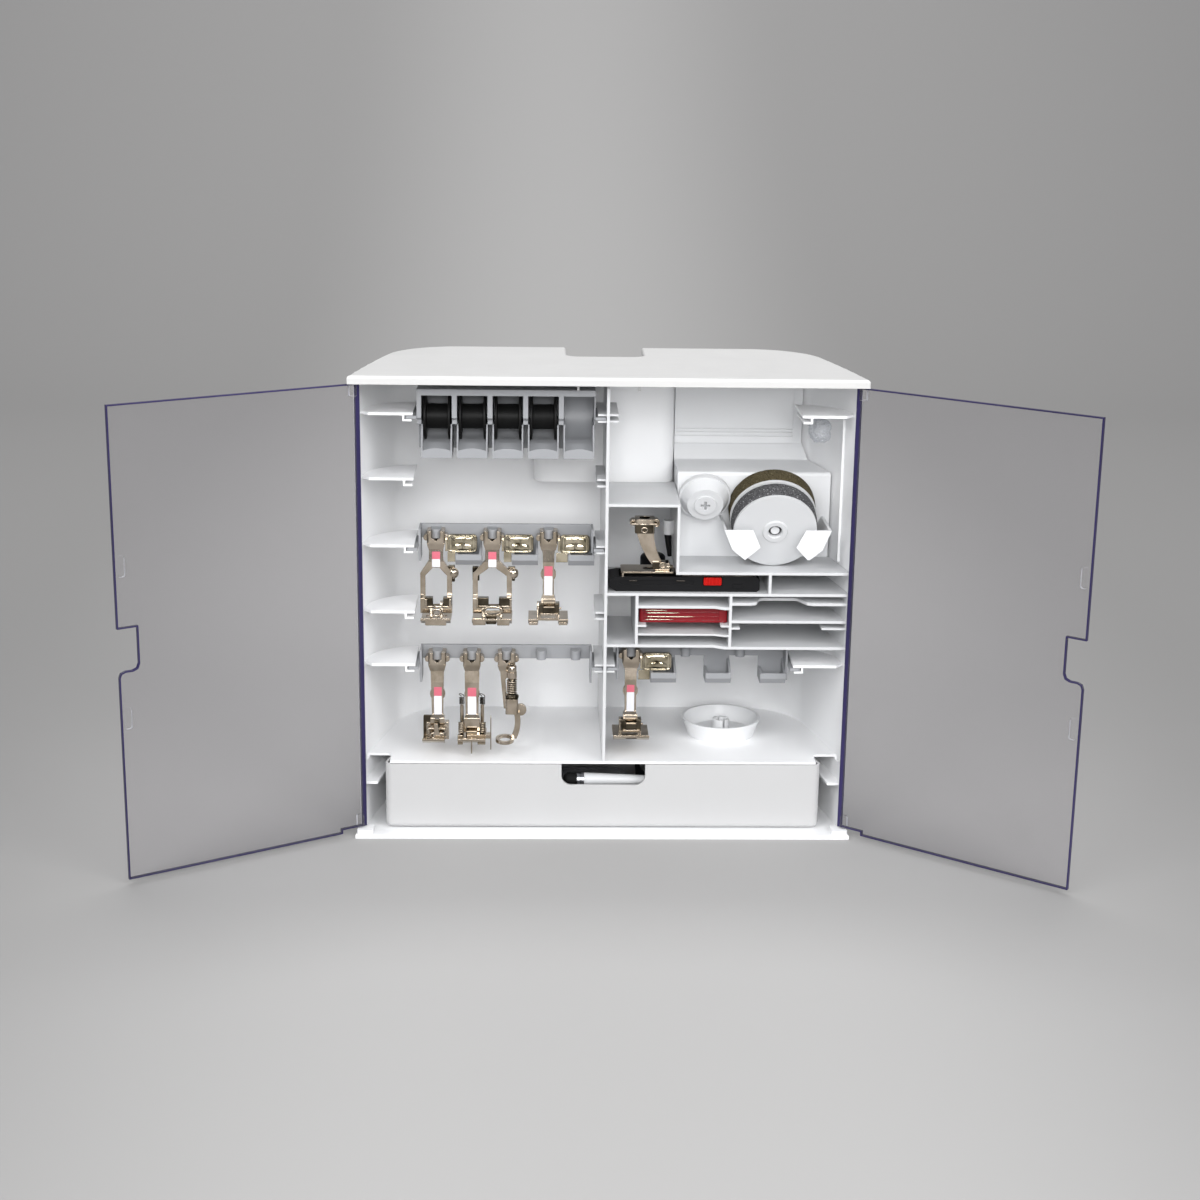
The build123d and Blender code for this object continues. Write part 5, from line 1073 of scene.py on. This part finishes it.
@dataclass(frozen=True)
class CodingLens:
    """Pressed face of a foot's coding plate: a rolled rim round four shallow pillows.

    Attributes:
        name: the foot.
        body: the rack that carries the foot.
        x: the foot's peg.
        rail: the height that the foot hangs from.
        seed: seed of the pressing's unevenness.
        half: half width and half height.
        square: how square the outline is; small is square.
        place: the plate's middle from the peg, its depth, and its middle from the rail.
        pillow_middle: distance of a pillow's middle from the plate's, both ways.
        pillow_half: half size of a pillow, both ways.
        base: height of the pressing between rim and pillows.
        raise_by: height of the rim and of the pillows.
        rim: ring that the rim lies on, and its width.
        inside: the last ring that carries pillows.
        ripple: height of a slow wave.
        waves: slowest and fastest wave.
        back: height of the rings just outside the outline.
    """

    name: str
    body: Body
    x: float
    rail: float
    seed: int
    half: tuple[float, float] = (8.7, 5.5)
    square: float = 0.3
    place: Point = (15.6, 17.0, -2.6)
    pillow_middle: tuple[float, float] = (3.4, 2.1)
    pillow_half: tuple[float, float] = (3.0, 1.9)
    base: float = 0.36
    raise_by: float = 0.5
    rim: tuple[float, float] = (0.92, 0.05)
    inside: float = 0.86
    ripple: float = 0.06
    waves: tuple[float, float] = (0.7, 1.6)
    back: float = -0.1

    def pillow(self, x: Array, z: Array) -> Array:
        """Returns P(x) P(z), the pillows' height from 0 to 1, at the points (x, z)."""
        sides = []
        for value, middle, half in zip((x, z), self.pillow_middle, self.pillow_half):
            sides.append(np.maximum(1 - ((np.abs(value) - middle) / half) ** 4, 0.0))
        return sides[0] * sides[1]

    def build(self, palette: Palette) -> None:
        """Makes the face.

        Rings s from 0 to 1 of a superellipse outline carry the height
        0.36 + 0.5 e^-((s - 0.92) / 0.05)^2 + 0.5 P(x) P(z), where P is 1 - t^4 about
        the nearer of two pillow middles, with three slow seeded waves on top. The
        last rings drop to the plate and close in its middle.
        """
        turn = np.linspace(0.0, FULL_TURN, 120, endpoint=False)
        # the rings of the face, then two at the outline's edge, and one that closes the back
        s = np.concatenate([np.linspace(0.0, 1.0, 60), [1.02, 1.02, 0.0]])[:, None]
        x = s * self.half[0] * signed_power(np.cos(turn), self.square)
        z = s * self.half[1] * signed_power(np.sin(turn), self.square)
        rng = np.random.default_rng(self.seed)
        pitch = rng.uniform(*self.waves, (3, 2))
        phase = rng.uniform(0.0, PHASE_TOP, 3)
        wave = sum(np.sin(a * x + b * z + c) for (a, b), c in zip(pitch, phase))
        ring, width = self.rim
        rise = self.base + self.raise_by * np.exp(-(((s - ring) / width) ** 2))
        rise = rise + self.raise_by * self.pillow(x, z) * (s < self.inside) + self.ripple * wave
        rise = np.where(s > 1.01, self.back, rise)
        right, depth, up = self.place
        points = np.stack([
            self.x + right + x, FRONT_MM + depth - rise, self.rail + up + z,
        ], axis=-1)
        name = f"{self.name}_coding_lens"
        lens = grid_object(name, points * MM, palette["lens_metal"], False, True)
        settle(lens, self.body, "nickel")


@dataclass(frozen=True)
class NeedleSet:
    """Needles that lie in the red case's window.

    Attributes:
        rows: start, end and height of each needle.
        depth: depth that they lie at.
        thick: radius of the butt.
        taper: how much thinner the point is.
        butt: share of the length that is butt.
    """

    rows: tuple[Point, ...] = (
        (23.6, 37.0, 138.3), (24.2, 49.0, 136.7), (24.0, 60.0, 134.4), (23.8, 41.0, 132.6),
    )
    depth: float = 6.42
    thick: float = 0.42
    taper: float = 0.3
    butt: float = 0.4

    def build(self, palette: Palette) -> None:
        """Makes each needle: a tube that is thick at its butt and thins to a point."""
        for i, (start, end, height) in enumerate(self.rows):
            x = np.linspace(start, end, 40)
            depth = np.full_like(x, FRONT_MM + self.depth)
            path = np.stack([x, depth, np.full_like(x, height)], axis=-1)
            past = np.maximum((x - start) / (end - start) - self.butt, 0.0) / (1.0 - self.butt)
            radius = self.thick - self.taper * past
            radius[[0, -1]] = 0.0
            points = tube_points(path, radius, (0.0, 0.0, 1.0), 14) * MM
            needle = grid_object(f"case_needle_{i + 1}", points, palette["nickel"], False, True)
            settle(needle, Body.CABINET, "bright_ring")


class Trim(Enum):
    """The small shapes that a foot's fittings are made of."""

    BLOCK = "block"
    PIN = "pin"
    RING = "ring"
    COIL = "coil"
    SLEEVE = "sleeve"

    def points(self, place: Array, half: Point) -> tuple[Array, bool, bool]:
        """Works out the shape's surface.

        A block is a squared superellipsoid. A pin runs along x and a sleeve along z;
        both are a circle carried along an axis, with bevelled ends: a pin has half
        length a and radius c, a sleeve half length c and radius a. A ring is a circle
        of radius b along the ellipse x = a cos t, z = c sin t. A coil is a circle of
        radius b along the helix of radius a, six turns over the height 2 c.

        Args:
            place: the middle, in millimetres.
            half: the sizes a, b and c.
        Returns:
            Points, and whether they wrap along u and along v.
        """
        a, b, c = half
        if self is Trim.BLOCK:
            return rounded_block(place, half, square=0.16, count=16), False, True
        if self in (Trim.PIN, Trim.SLEEVE):
            if self is Trim.PIN:
                reach, radius, axis = a, c, (1.0, 0.0, 0.0)
            else:
                reach, radius, axis = c, a, (0.0, 0.0, 1.0)
            edge = 0.25 * radius
            profile = np.array((
                (0.0, -reach), (radius - edge, -reach), (radius, edge - reach),
                (radius, reach - edge), (radius - edge, reach), (0.0, reach),
            ))
            return turned_points(place, axis, profile, 28), True, False
        if self is Trim.RING:
            t = np.linspace(0.0, FULL_TURN, 48, endpoint=False)[:, None]
            v = np.linspace(0.0, FULL_TURN, 10, endpoint=False)[None, :]
            right = (a + b * np.cos(v)) * np.cos(t)
            up = (c + b * np.cos(v)) * np.sin(t)
            ring = np.stack([right, b * np.sin(v) * np.ones_like(t), up], axis=-1)
            return ring + place, True, True
        t = np.linspace(0.0, 6 * FULL_TURN, 180)
        rise = c * (t / (3 * FULL_TURN) - 1.0)
        path = np.stack([a * np.cos(t), a * np.sin(t), rise], axis=-1) + place
        radius = np.full(len(t), b)
        radius[[0, -1]] = 0.0
        return tube_points(path, radius, SKEW_GUIDE, 8), False, True


Fitting = tuple[Trim, Point, Point, str]


@dataclass(frozen=True)
class FootFittings:
    """Clamps, pins and springs at the lower end of one foot.

    Attributes:
        name: the foot.
        body: what carries it.
        rows: shape, middle (x, depth, height), sizes and finish of each fitting.
    """

    name: str
    body: Body
    rows: tuple[Fitting, ...]

    def build(self, palette: Palette) -> None:
        """Makes each fitting."""
        for i, (trim, (x, depth, height), half, finish) in enumerate(self.rows):
            points, wrap_u, wrap_v = trim.points(np.array((x, FRONT_MM + depth, height)), half)
            name = f"{self.name}_{trim.value}_{i + 1}"
            smooth = trim is not Trim.BLOCK
            fitting = grid_object(name, points * MM, palette[finish], wrap_u, wrap_v, smooth)
            settle(fitting, self.body, "black_plastic" if finish == BLACK else "nickel")


SHADE = "shade_metal"
CLEAN = "nickel"
WIRE = "dark_wire"
BLACK = "satin_black"
FITTINGS = (
    FootFittings("two_arm_narrow", Body.WIDE_RACK, (
        (Trim.BLOCK, (-104.6, 13.5, 141.4), (2.5, 2.2, 2.5), SHADE),
        (Trim.BLOCK, (-93.6, 13.5, 141.4), (2.5, 2.2, 2.5), SHADE),
        (Trim.BLOCK, (-106.2, 11.6, 140.4), (0.6, 0.7, 2.6), CLEAN),
        (Trim.BLOCK, (-92.0, 11.6, 140.4), (0.6, 0.7, 2.6), CLEAN),
        (Trim.PIN, (-99.9, 12.2, 138.1), (7.4, 0.8, 0.8), CLEAN),
        (Trim.RING, (-99.9, 11.4, 134.7), (2.5, 0.6, 2.0), CLEAN),
        (Trim.BLOCK, (-100.3, 6.4, 130.2), (6.3, 1.3, 1.8), CLEAN),
        (Trim.BLOCK, (-91.4, 22.0, 156.2), (2.0, 1.4, 5.0), SHADE),
    )),
    FootFittings("two_arm_wide", Body.WIDE_RACK, (
        (Trim.BLOCK, (-72.7, 13.5, 141.5), (3.6, 2.2, 2.4), SHADE),
        (Trim.BLOCK, (-59.4, 13.5, 141.5), (3.7, 2.2, 2.4), SHADE),
        (Trim.BLOCK, (-76.0, 11.6, 140.6), (0.6, 0.7, 2.8), CLEAN),
        (Trim.BLOCK, (-56.1, 11.6, 140.6), (0.6, 0.7, 2.8), CLEAN),
        (Trim.PIN, (-66.0, 12.2, 138.5), (10.6, 0.8, 0.8), CLEAN),
        (Trim.RING, (-66.5, 11.2, 136.0), (5.4, 0.8, 2.6), CLEAN),
        (Trim.BLOCK, (-66.5, 11.2, 135.6), (5.2, 0.5, 0.6), CLEAN),
        (Trim.BLOCK, (-74.6, 6.4, 130.6), (3.9, 1.3, 1.8), CLEAN),
        (Trim.BLOCK, (-60.4, 6.4, 130.4), (3.7, 1.3, 1.8), CLEAN),
        (Trim.BLOCK, (-67.5, 8.4, 131.6), (3.1, 1.4, 2.8), SHADE),
        (Trim.BLOCK, (-76.9, 22.0, 156.3), (2.1, 1.4, 4.4), SHADE),
        (Trim.BLOCK, (-55.7, 22.0, 156.3), (2.1, 1.4, 4.4), SHADE),
    )),
    FootFittings("open_toe", Body.WIDE_RACK, (
        (Trim.BLOCK, (-38.0, 13.0, 137.4), (1.4, 2.4, 3.6), SHADE),
        (Trim.BLOCK, (-28.6, 13.0, 137.4), (1.4, 2.4, 3.6), SHADE),
        (Trim.PIN, (-33.3, 12.2, 137.6), (7.4, 0.8, 0.8), CLEAN),
        (Trim.BLOCK, (-33.3, 10.8, 134.3), (5.4, 1.2, 0.7), CLEAN),
        (Trim.BLOCK, (-33.3, 10.6, 137.0), (3.6, 0.8, 1.7), SHADE),
        (Trim.BLOCK, (-42.6, 5.9, 130.0), (2.6, 0.9, 0.9), CLEAN),
        (Trim.BLOCK, (-25.0, 5.9, 130.0), (2.6, 0.9, 0.9), CLEAN),
    )),
    FootFittings("overlock", Body.NARROW_RACK, (
        (Trim.BLOCK, (-105.8, 17.5, 62.0), (3.0, 0.8, 6.8), SHADE),
        (Trim.BLOCK, (-100.4, 12.0, 63.2), (1.4, 1.6, 5.2), SHADE),
        (Trim.PIN, (-100.6, 11.4, 62.0), (5.4, 0.8, 0.8), CLEAN),
        (Trim.RING, (-101.6, 9.6, 58.2), (2.2, 0.7, 1.7), CLEAN),
        (Trim.RING, (-97.9, 9.6, 58.0), (1.8, 0.7, 1.7), CLEAN),
    )),
    FootFittings("blind_stitch", Body.NARROW_RACK, (
        (Trim.COIL, (-85.7, 13.0, 62.4), (1.6, 0.42, 3.4), CLEAN),
        (Trim.COIL, (-72.9, 13.0, 62.4), (1.6, 0.42, 3.4), CLEAN),
        (Trim.SLEEVE, (-85.7, 13.0, 62.4), (1.1, 0.0, 3.6), SHADE),
        (Trim.SLEEVE, (-72.9, 13.0, 62.4), (1.1, 0.0, 3.6), SHADE),
        (Trim.BLOCK, (-86.3, 10.6, 55.6), (1.6, 1.4, 3.0), CLEAN),
        (Trim.BLOCK, (-73.5, 10.6, 55.2), (2.4, 1.4, 2.6), CLEAN),
        (Trim.BLOCK, (-79.6, 11.2, 58.4), (3.4, 1.2, 2.0), SHADE),
        (Trim.PIN, (-79.6, 10.2, 56.0), (7.0, 0.7, 0.7), CLEAN),
    )),
    FootFittings("zigzag", Body.RIGHT_RACK, (
        (Trim.BLOCK, (12.1, 13.0, 65.0), (1.4, 2.4, 3.6), SHADE),
        (Trim.BLOCK, (21.3, 13.0, 65.0), (1.4, 2.4, 3.6), SHADE),
        (Trim.PIN, (16.7, 12.2, 65.4), (7.2, 0.8, 0.8), CLEAN),
        (Trim.BLOCK, (16.7, 10.8, 61.6), (5.2, 1.2, 0.7), CLEAN),
        (Trim.BLOCK, (16.7, 10.6, 64.4), (3.4, 0.8, 1.7), SHADE),
        (Trim.BLOCK, (16.7, 8.0, 58.8), (3.4, 1.6, 1.2), SHADE),
    )),
    FootFittings("darning", Body.NARROW_RACK, (
        (Trim.SLEEVE, (-55.2, 14.0, 98.4), (2.7, 0.0, 3.2), CLEAN),
        (Trim.SLEEVE, (-55.2, 14.0, 101.7), (1.7, 0.0, 0.3), SHADE),
        (Trim.SLEEVE, (-55.2, 14.0, 88.4), (2.2, 0.0, 5.2), SHADE),
        (Trim.SLEEVE, (-55.2, 14.0, 81.9), (4.1, 0.0, 1.6), SHADE),
        (Trim.SLEEVE, (-55.4, 14.0, 78.0), (3.4, 0.0, 2.6), CLEAN),
    )),
    FootFittings("sledge", Body.CABINET, (
        (Trim.BLOCK, (22.2, 9.6, 187.4), (5.4, 1.4, 3.0), SHADE),
        (Trim.PIN, (22.4, 8.7, 190.0), (7.6, 0.7, 0.7), CLEAN),
        (Trim.RING, (22.4, 8.0, 186.6), (1.7, 0.4, 1.5), CLEAN),
        (Trim.RING, (29.4, 9.6, 190.6), (1.6, 0.6, 2.0), CLEAN),
        (Trim.BLOCK, (29.6, 9.0, 165.2), (2.2, 1.4, 2.2), SHADE),
        (Trim.RING, (33.6, 8.0, 165.4), (1.7, 0.6, 1.6), CLEAN),
        (Trim.PIN, (37.0, 9.0, 164.2), (3.0, 0.9, 0.9), CLEAN),
        # painted light and shade: a thin strip that stands in for the lit edge and shadow line of a
        # trough along the sledge's top, which isn't modelled
        (Trim.BLOCK, (66.0, 4.2, 160.2), (21.0, 0.5, 0.3), WIRE),
        (Trim.BLOCK, (16.0, 3.95, 157.0), (2.4, 0.3, 0.45), WIRE),
        (Trim.BLOCK, (44.0, 3.95, 157.0), (2.6, 0.3, 0.45), WIRE),
        (Trim.BLOCK, (78.0, 3.9, 153.8), (3.0, 0.5, 1.1), BLACK),
        (Trim.COIL, (86.4, 5.6, 158.2), (1.1, 0.35, 2.4), WIRE),
    )),
)


@dataclass(frozen=True)
class SmallScrews:
    """Domed screws and pins on the feet and the sledge.

    Attributes:
        rows: name, body, place, axis and radius of each.
        crown: height of the dome as a share of the radius.
        neck: how far the neck goes in, and its radius as a share of the head's.
        edge: heights where the head's upright edge starts and ends.
    """

    rows: tuple[tuple[str, Body, Point, Point, float], ...] = (
        ("two_arm_narrow_screw", Body.WIDE_RACK, (-90.4, -33.0, 156.8), (0.0, -1.0, 0.0), 3.0),
        ("two_arm_wide_screw", Body.WIDE_RACK, (-54.9, -33.0, 156.8), (0.0, -1.0, 0.0), 3.0),
        ("sledge_hook", Body.CABINET, (84.4, -46.9, 159.6), (0.2, -0.4, 1.0), 1.0),
    )
    crown: float = 0.55
    neck: tuple[float, float] = (0.6, 0.7)
    edge: tuple[float, float] = (-0.2, 0.4)

    def build(self, palette: Palette) -> None:
        """Makes each screw: a dome whose radius falls as a quarter ellipse, on a short neck."""
        sunk, slim = self.neck
        low, high = self.edge
        t = np.linspace(0.0, HALF_TURN / 2, 12)
        for name, body, place, axis, radius in self.rows:
            dome = np.stack([radius * np.cos(t), self.crown * radius * np.sin(t) + high], axis=-1)
            foot = [(0.0, -sunk), (radius * slim, -sunk), (radius, low)]
            profile = np.concatenate([foot, dome]) * MM
            profile[-1, 0] = 0.0
            points = turned_points(np.array(place) * MM, axis, profile, 36)
            settle(grid_object(name, points, palette["nickel"], True), body, "nickel")


@dataclass(frozen=True)
class HairSprings:
    """Two fine springs with hooked ends beside the blind stitch foot's shank.

    Attributes:
        x: the foot's peg.
        shift: how far each spring stands from it.
        depth: depth of the springs' axes.
        low: height of their lower ends.
        radius: radius of a turn.
        wire: radius of the wire.
        turns: number of turns.
        pitch: rise of each turn.
        lift: how far the turns start above the lower end.
        hook: height where the hook starts, how far it rises, and its depth from the axis.
    """

    x: float = -79.4
    shift: float = 6.2
    depth: float = 19.0
    low: float = 75.0
    radius: float = 1.45
    wire: float = 0.26
    turns: int = 5
    pitch: float = 0.9
    lift: float = 0.2
    hook: Point = (5.1, 1.8, -0.2)

    def build(self, palette: Palette) -> None:
        """Makes each spring: a helix that ends in an open hook at its top."""
        turn = np.linspace(0.0, self.turns * FULL_TURN, 200)
        rise = self.pitch * turn / FULL_TURN + self.lift
        helix = np.stack([self.radius * np.cos(turn), self.radius * np.sin(turn), rise], axis=-1)
        start, reach, depth = self.hook
        turn = np.linspace(0.0, 1.5 * HALF_TURN, 40)[1:]
        rise = start + reach * np.sin(turn / 1.5)
        hook = np.stack([self.radius * np.cos(turn), np.full_like(turn, depth), rise], axis=-1)
        path = np.concatenate([helix, hook])
        radius = np.full(len(path), self.wire)
        radius[[0, -1]] = 0.0
        for name, shift in (("left", -self.shift), ("right", self.shift)):
            place = (self.x + shift, FRONT_MM + self.depth, self.low)
            points = tube_points(path + place, radius, SKEW_GUIDE, 8) * MM
            spring = grid_object(f"hair_spring_{name}", points, palette["dark_wire"], False, True)
            settle(spring, Body.NARROW_RACK, "nickel")


@dataclass(frozen=True)
class RoundCap:
    """Black cap with a domed top at the back of the tall bay.

    Attributes:
        place: middle of its underside.
        radius: its radius.
        height: its height.
        edge: how far the rounded edge reaches in, and how far up.
        crown: height of the dome within the edge.
        lip: bevel of the lower edge, inwards and upwards, and the underside's height.
    """

    place: Point = (29.6, -8.0, 150.4)
    radius: float = 7.6
    height: float = 14.0
    edge: tuple[float, float] = (3.4, 2.8)
    crown: float = 0.6
    lip: Point = (0.4, 0.5, 0.02)

    def build(self, palette: Palette) -> None:
        """Makes the cap: an upright wall, a quarter ellipse, then a low parabolic dome."""
        inward, upward = self.edge
        inner = self.radius - inward
        shoulder = self.height - self.crown
        t = np.linspace(0.0, HALF_TURN / 2, 16)
        edge = np.stack([
            inner + inward * np.cos(t), shoulder - upward + upward * np.sin(t),
        ], axis=-1)
        top = np.linspace(inner, 0.0, 10)
        dome = np.stack([top, shoulder + self.crown * (1 - (top / inner) ** 2)], axis=-1)
        bevel, bevel_top, under = self.lip
        foot = [(0.0, under), (self.radius - bevel, under), (self.radius, bevel_top)]
        profile = np.concatenate([foot, edge, dome]) * MM
        points = turned_points(np.array(self.place) * MM, (0.0, 0.0, 1.0), profile, 72)
        cap = grid_object("black_round_cap_domed", points, palette["satin_black"], True)
        settle(cap, Body.CABINET, "black_plastic", "black_round_cap")


# Bare labels: edges from the peg, and levels from the rail
ARM_LABEL = (-7.9, -12.4, -17.2)
DOORS = (DoorRim(Body.LEFT_DOOR, -1, 148.4), DoorRim(Body.RIGHT_DOOR, 1, 142.3))
LABELS = (
    FootLabel(
        "two_arm_narrow", Body.WIDE_RACK, WIDE_PEGS_MM[0], WIDE_RAIL_MM, -2.4, 2.4, ARM_LABEL,
    ),
    FootLabel(
        "two_arm_wide", Body.WIDE_RACK, WIDE_PEGS_MM[1], WIDE_RAIL_MM, -2.4, 2.4, ARM_LABEL,
    ),
    FootLabel(
        "open_toe", Body.WIDE_RACK, WIDE_PEGS_MM[2], WIDE_RAIL_MM, -2.5, 2.5,
        (-16.3, -22.3, -34.2),
    ),
    FootLabel(
        "overlock", Body.NARROW_RACK, -100.2, NARROW_RAIL_MM, -2.1, 2.6, (-16.8, -22.4, -34.2),
    ),
    FootLabel(
        "blind_stitch", Body.NARROW_RACK, -79.4, NARROW_RAIL_MM, -2.6, 2.6,
        (-17.2, -22.7, -34.2),
    ),
    FootLabel(
        "zigzag", Body.RIGHT_RACK, RIGHT_PEG_MM, RIGHT_RAIL_MM, -2.3, 2.3, (-17.4, -22.0, -34.2),
    ),
)
LENSES = (
    CodingLens("two_arm_narrow", Body.WIDE_RACK, WIDE_PEGS_MM[0], WIDE_RAIL_MM, seed=21),
    CodingLens("two_arm_wide", Body.WIDE_RACK, WIDE_PEGS_MM[1], WIDE_RAIL_MM, seed=22),
    CodingLens("open_toe", Body.WIDE_RACK, WIDE_PEGS_MM[2], WIDE_RAIL_MM, seed=23),
    CodingLens("zigzag", Body.RIGHT_RACK, RIGHT_PEG_MM, RIGHT_RAIL_MM, seed=24),
)
PADS = (
    FoamPad("grey_foam_pad", "grey_foam", "grey_foam", 2.2 * MM, 25.0 * MM, seed=11),
    FoamPad("olive_foam_pad", "olive_foam", "olive_foam", 16.3 * MM, 25.6 * MM, seed=12),
)
BAGS = (
    FilmBag("clear_bag", Body.CABINET, seed=5, crumple=0.2, square=0.6),
    FilmBag("zip_bag", Body.DRAWER, seed=6),
    FilmBag("wrapper_bag", Body.DRAWER, seed=7, crumple=0.16),
)

NODE_FINISH = {
    "shell_white": ("cabinet_shell", "left_stand_foot", "right_stand_foot"),
    # the darker whites paint shade on the lid, drawer and inner parts; the lighter insert white
    # paints light on the recessed insert
    "lid_white_painted_shade": ("lid",),
    "drawer_white_painted_shade": ("drawer",),
    "insert_white_painted_light": ("spool_insert", "dish"),
    "inner_white_painted_shade": (
        "divider", "shelf_unit", "front_spool_disc", "middle_spool_disc",
        "small_spool_cap", "stylus_barrel",
    ),
    "rack_grey_painted_shade": ("bobbin_rack", "wide_foot_rack", "narrow_foot_rack", "right_foot_rack"),
    "bobbin_black": ("bobbin_1", "bobbin_2", "bobbin_3", "bobbin_4"),
    "satin_black": ("sledge_frame", "black_round_cap", "tapered_pin", "window_card"),
    "case_red": ("needle_case",),
    "button_red": ("sledge_button",),
    "rubber_black": ("stylus_tip",),
    "bright_steel": ("stylus_ring",),
    "door_clear": ("left_door", "right_door"),
    "bag_film": ("clear_bag", "zip_bag", "wrapper_bag"),
    "grey_foam": ("grey_foam_pad",),
    "olive_foam": ("olive_foam_pad",),
}


def finish_nodes(palette: Palette) -> None:
    """Gives every CAD node its finish.

    Nodes that NODE_FINISH doesn't name are metal.

    Args:
        palette: the finishes.
    """
    named = {node: finish for finish, nodes in NODE_FINISH.items() for node in nodes}
    for node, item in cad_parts.items():
        finish = named.get(node, "lens_metal" if node.endswith("coding_plate") else "nickel")
        for slot in item.material_slots:
            slot.material = palette[finish]
        LOG.info("%s: %s", node, finish)


def main() -> None:
    """Dresses the frame, lights it and sets the camera."""
    logging.basicConfig(level=logging.INFO)
    palette = Palette()
    finish_nodes(palette)
    CameraPose().add()
    Studio().add()
    for piece in (
        *DOORS, *PADS, *BAGS, *LABELS, *LENSES, *FITTINGS,
        NeedleSet(), SmallScrews(), HairSprings(), RoundCap(),
    ):
        piece.build(palette)


if __name__ == "__main__":
    main()
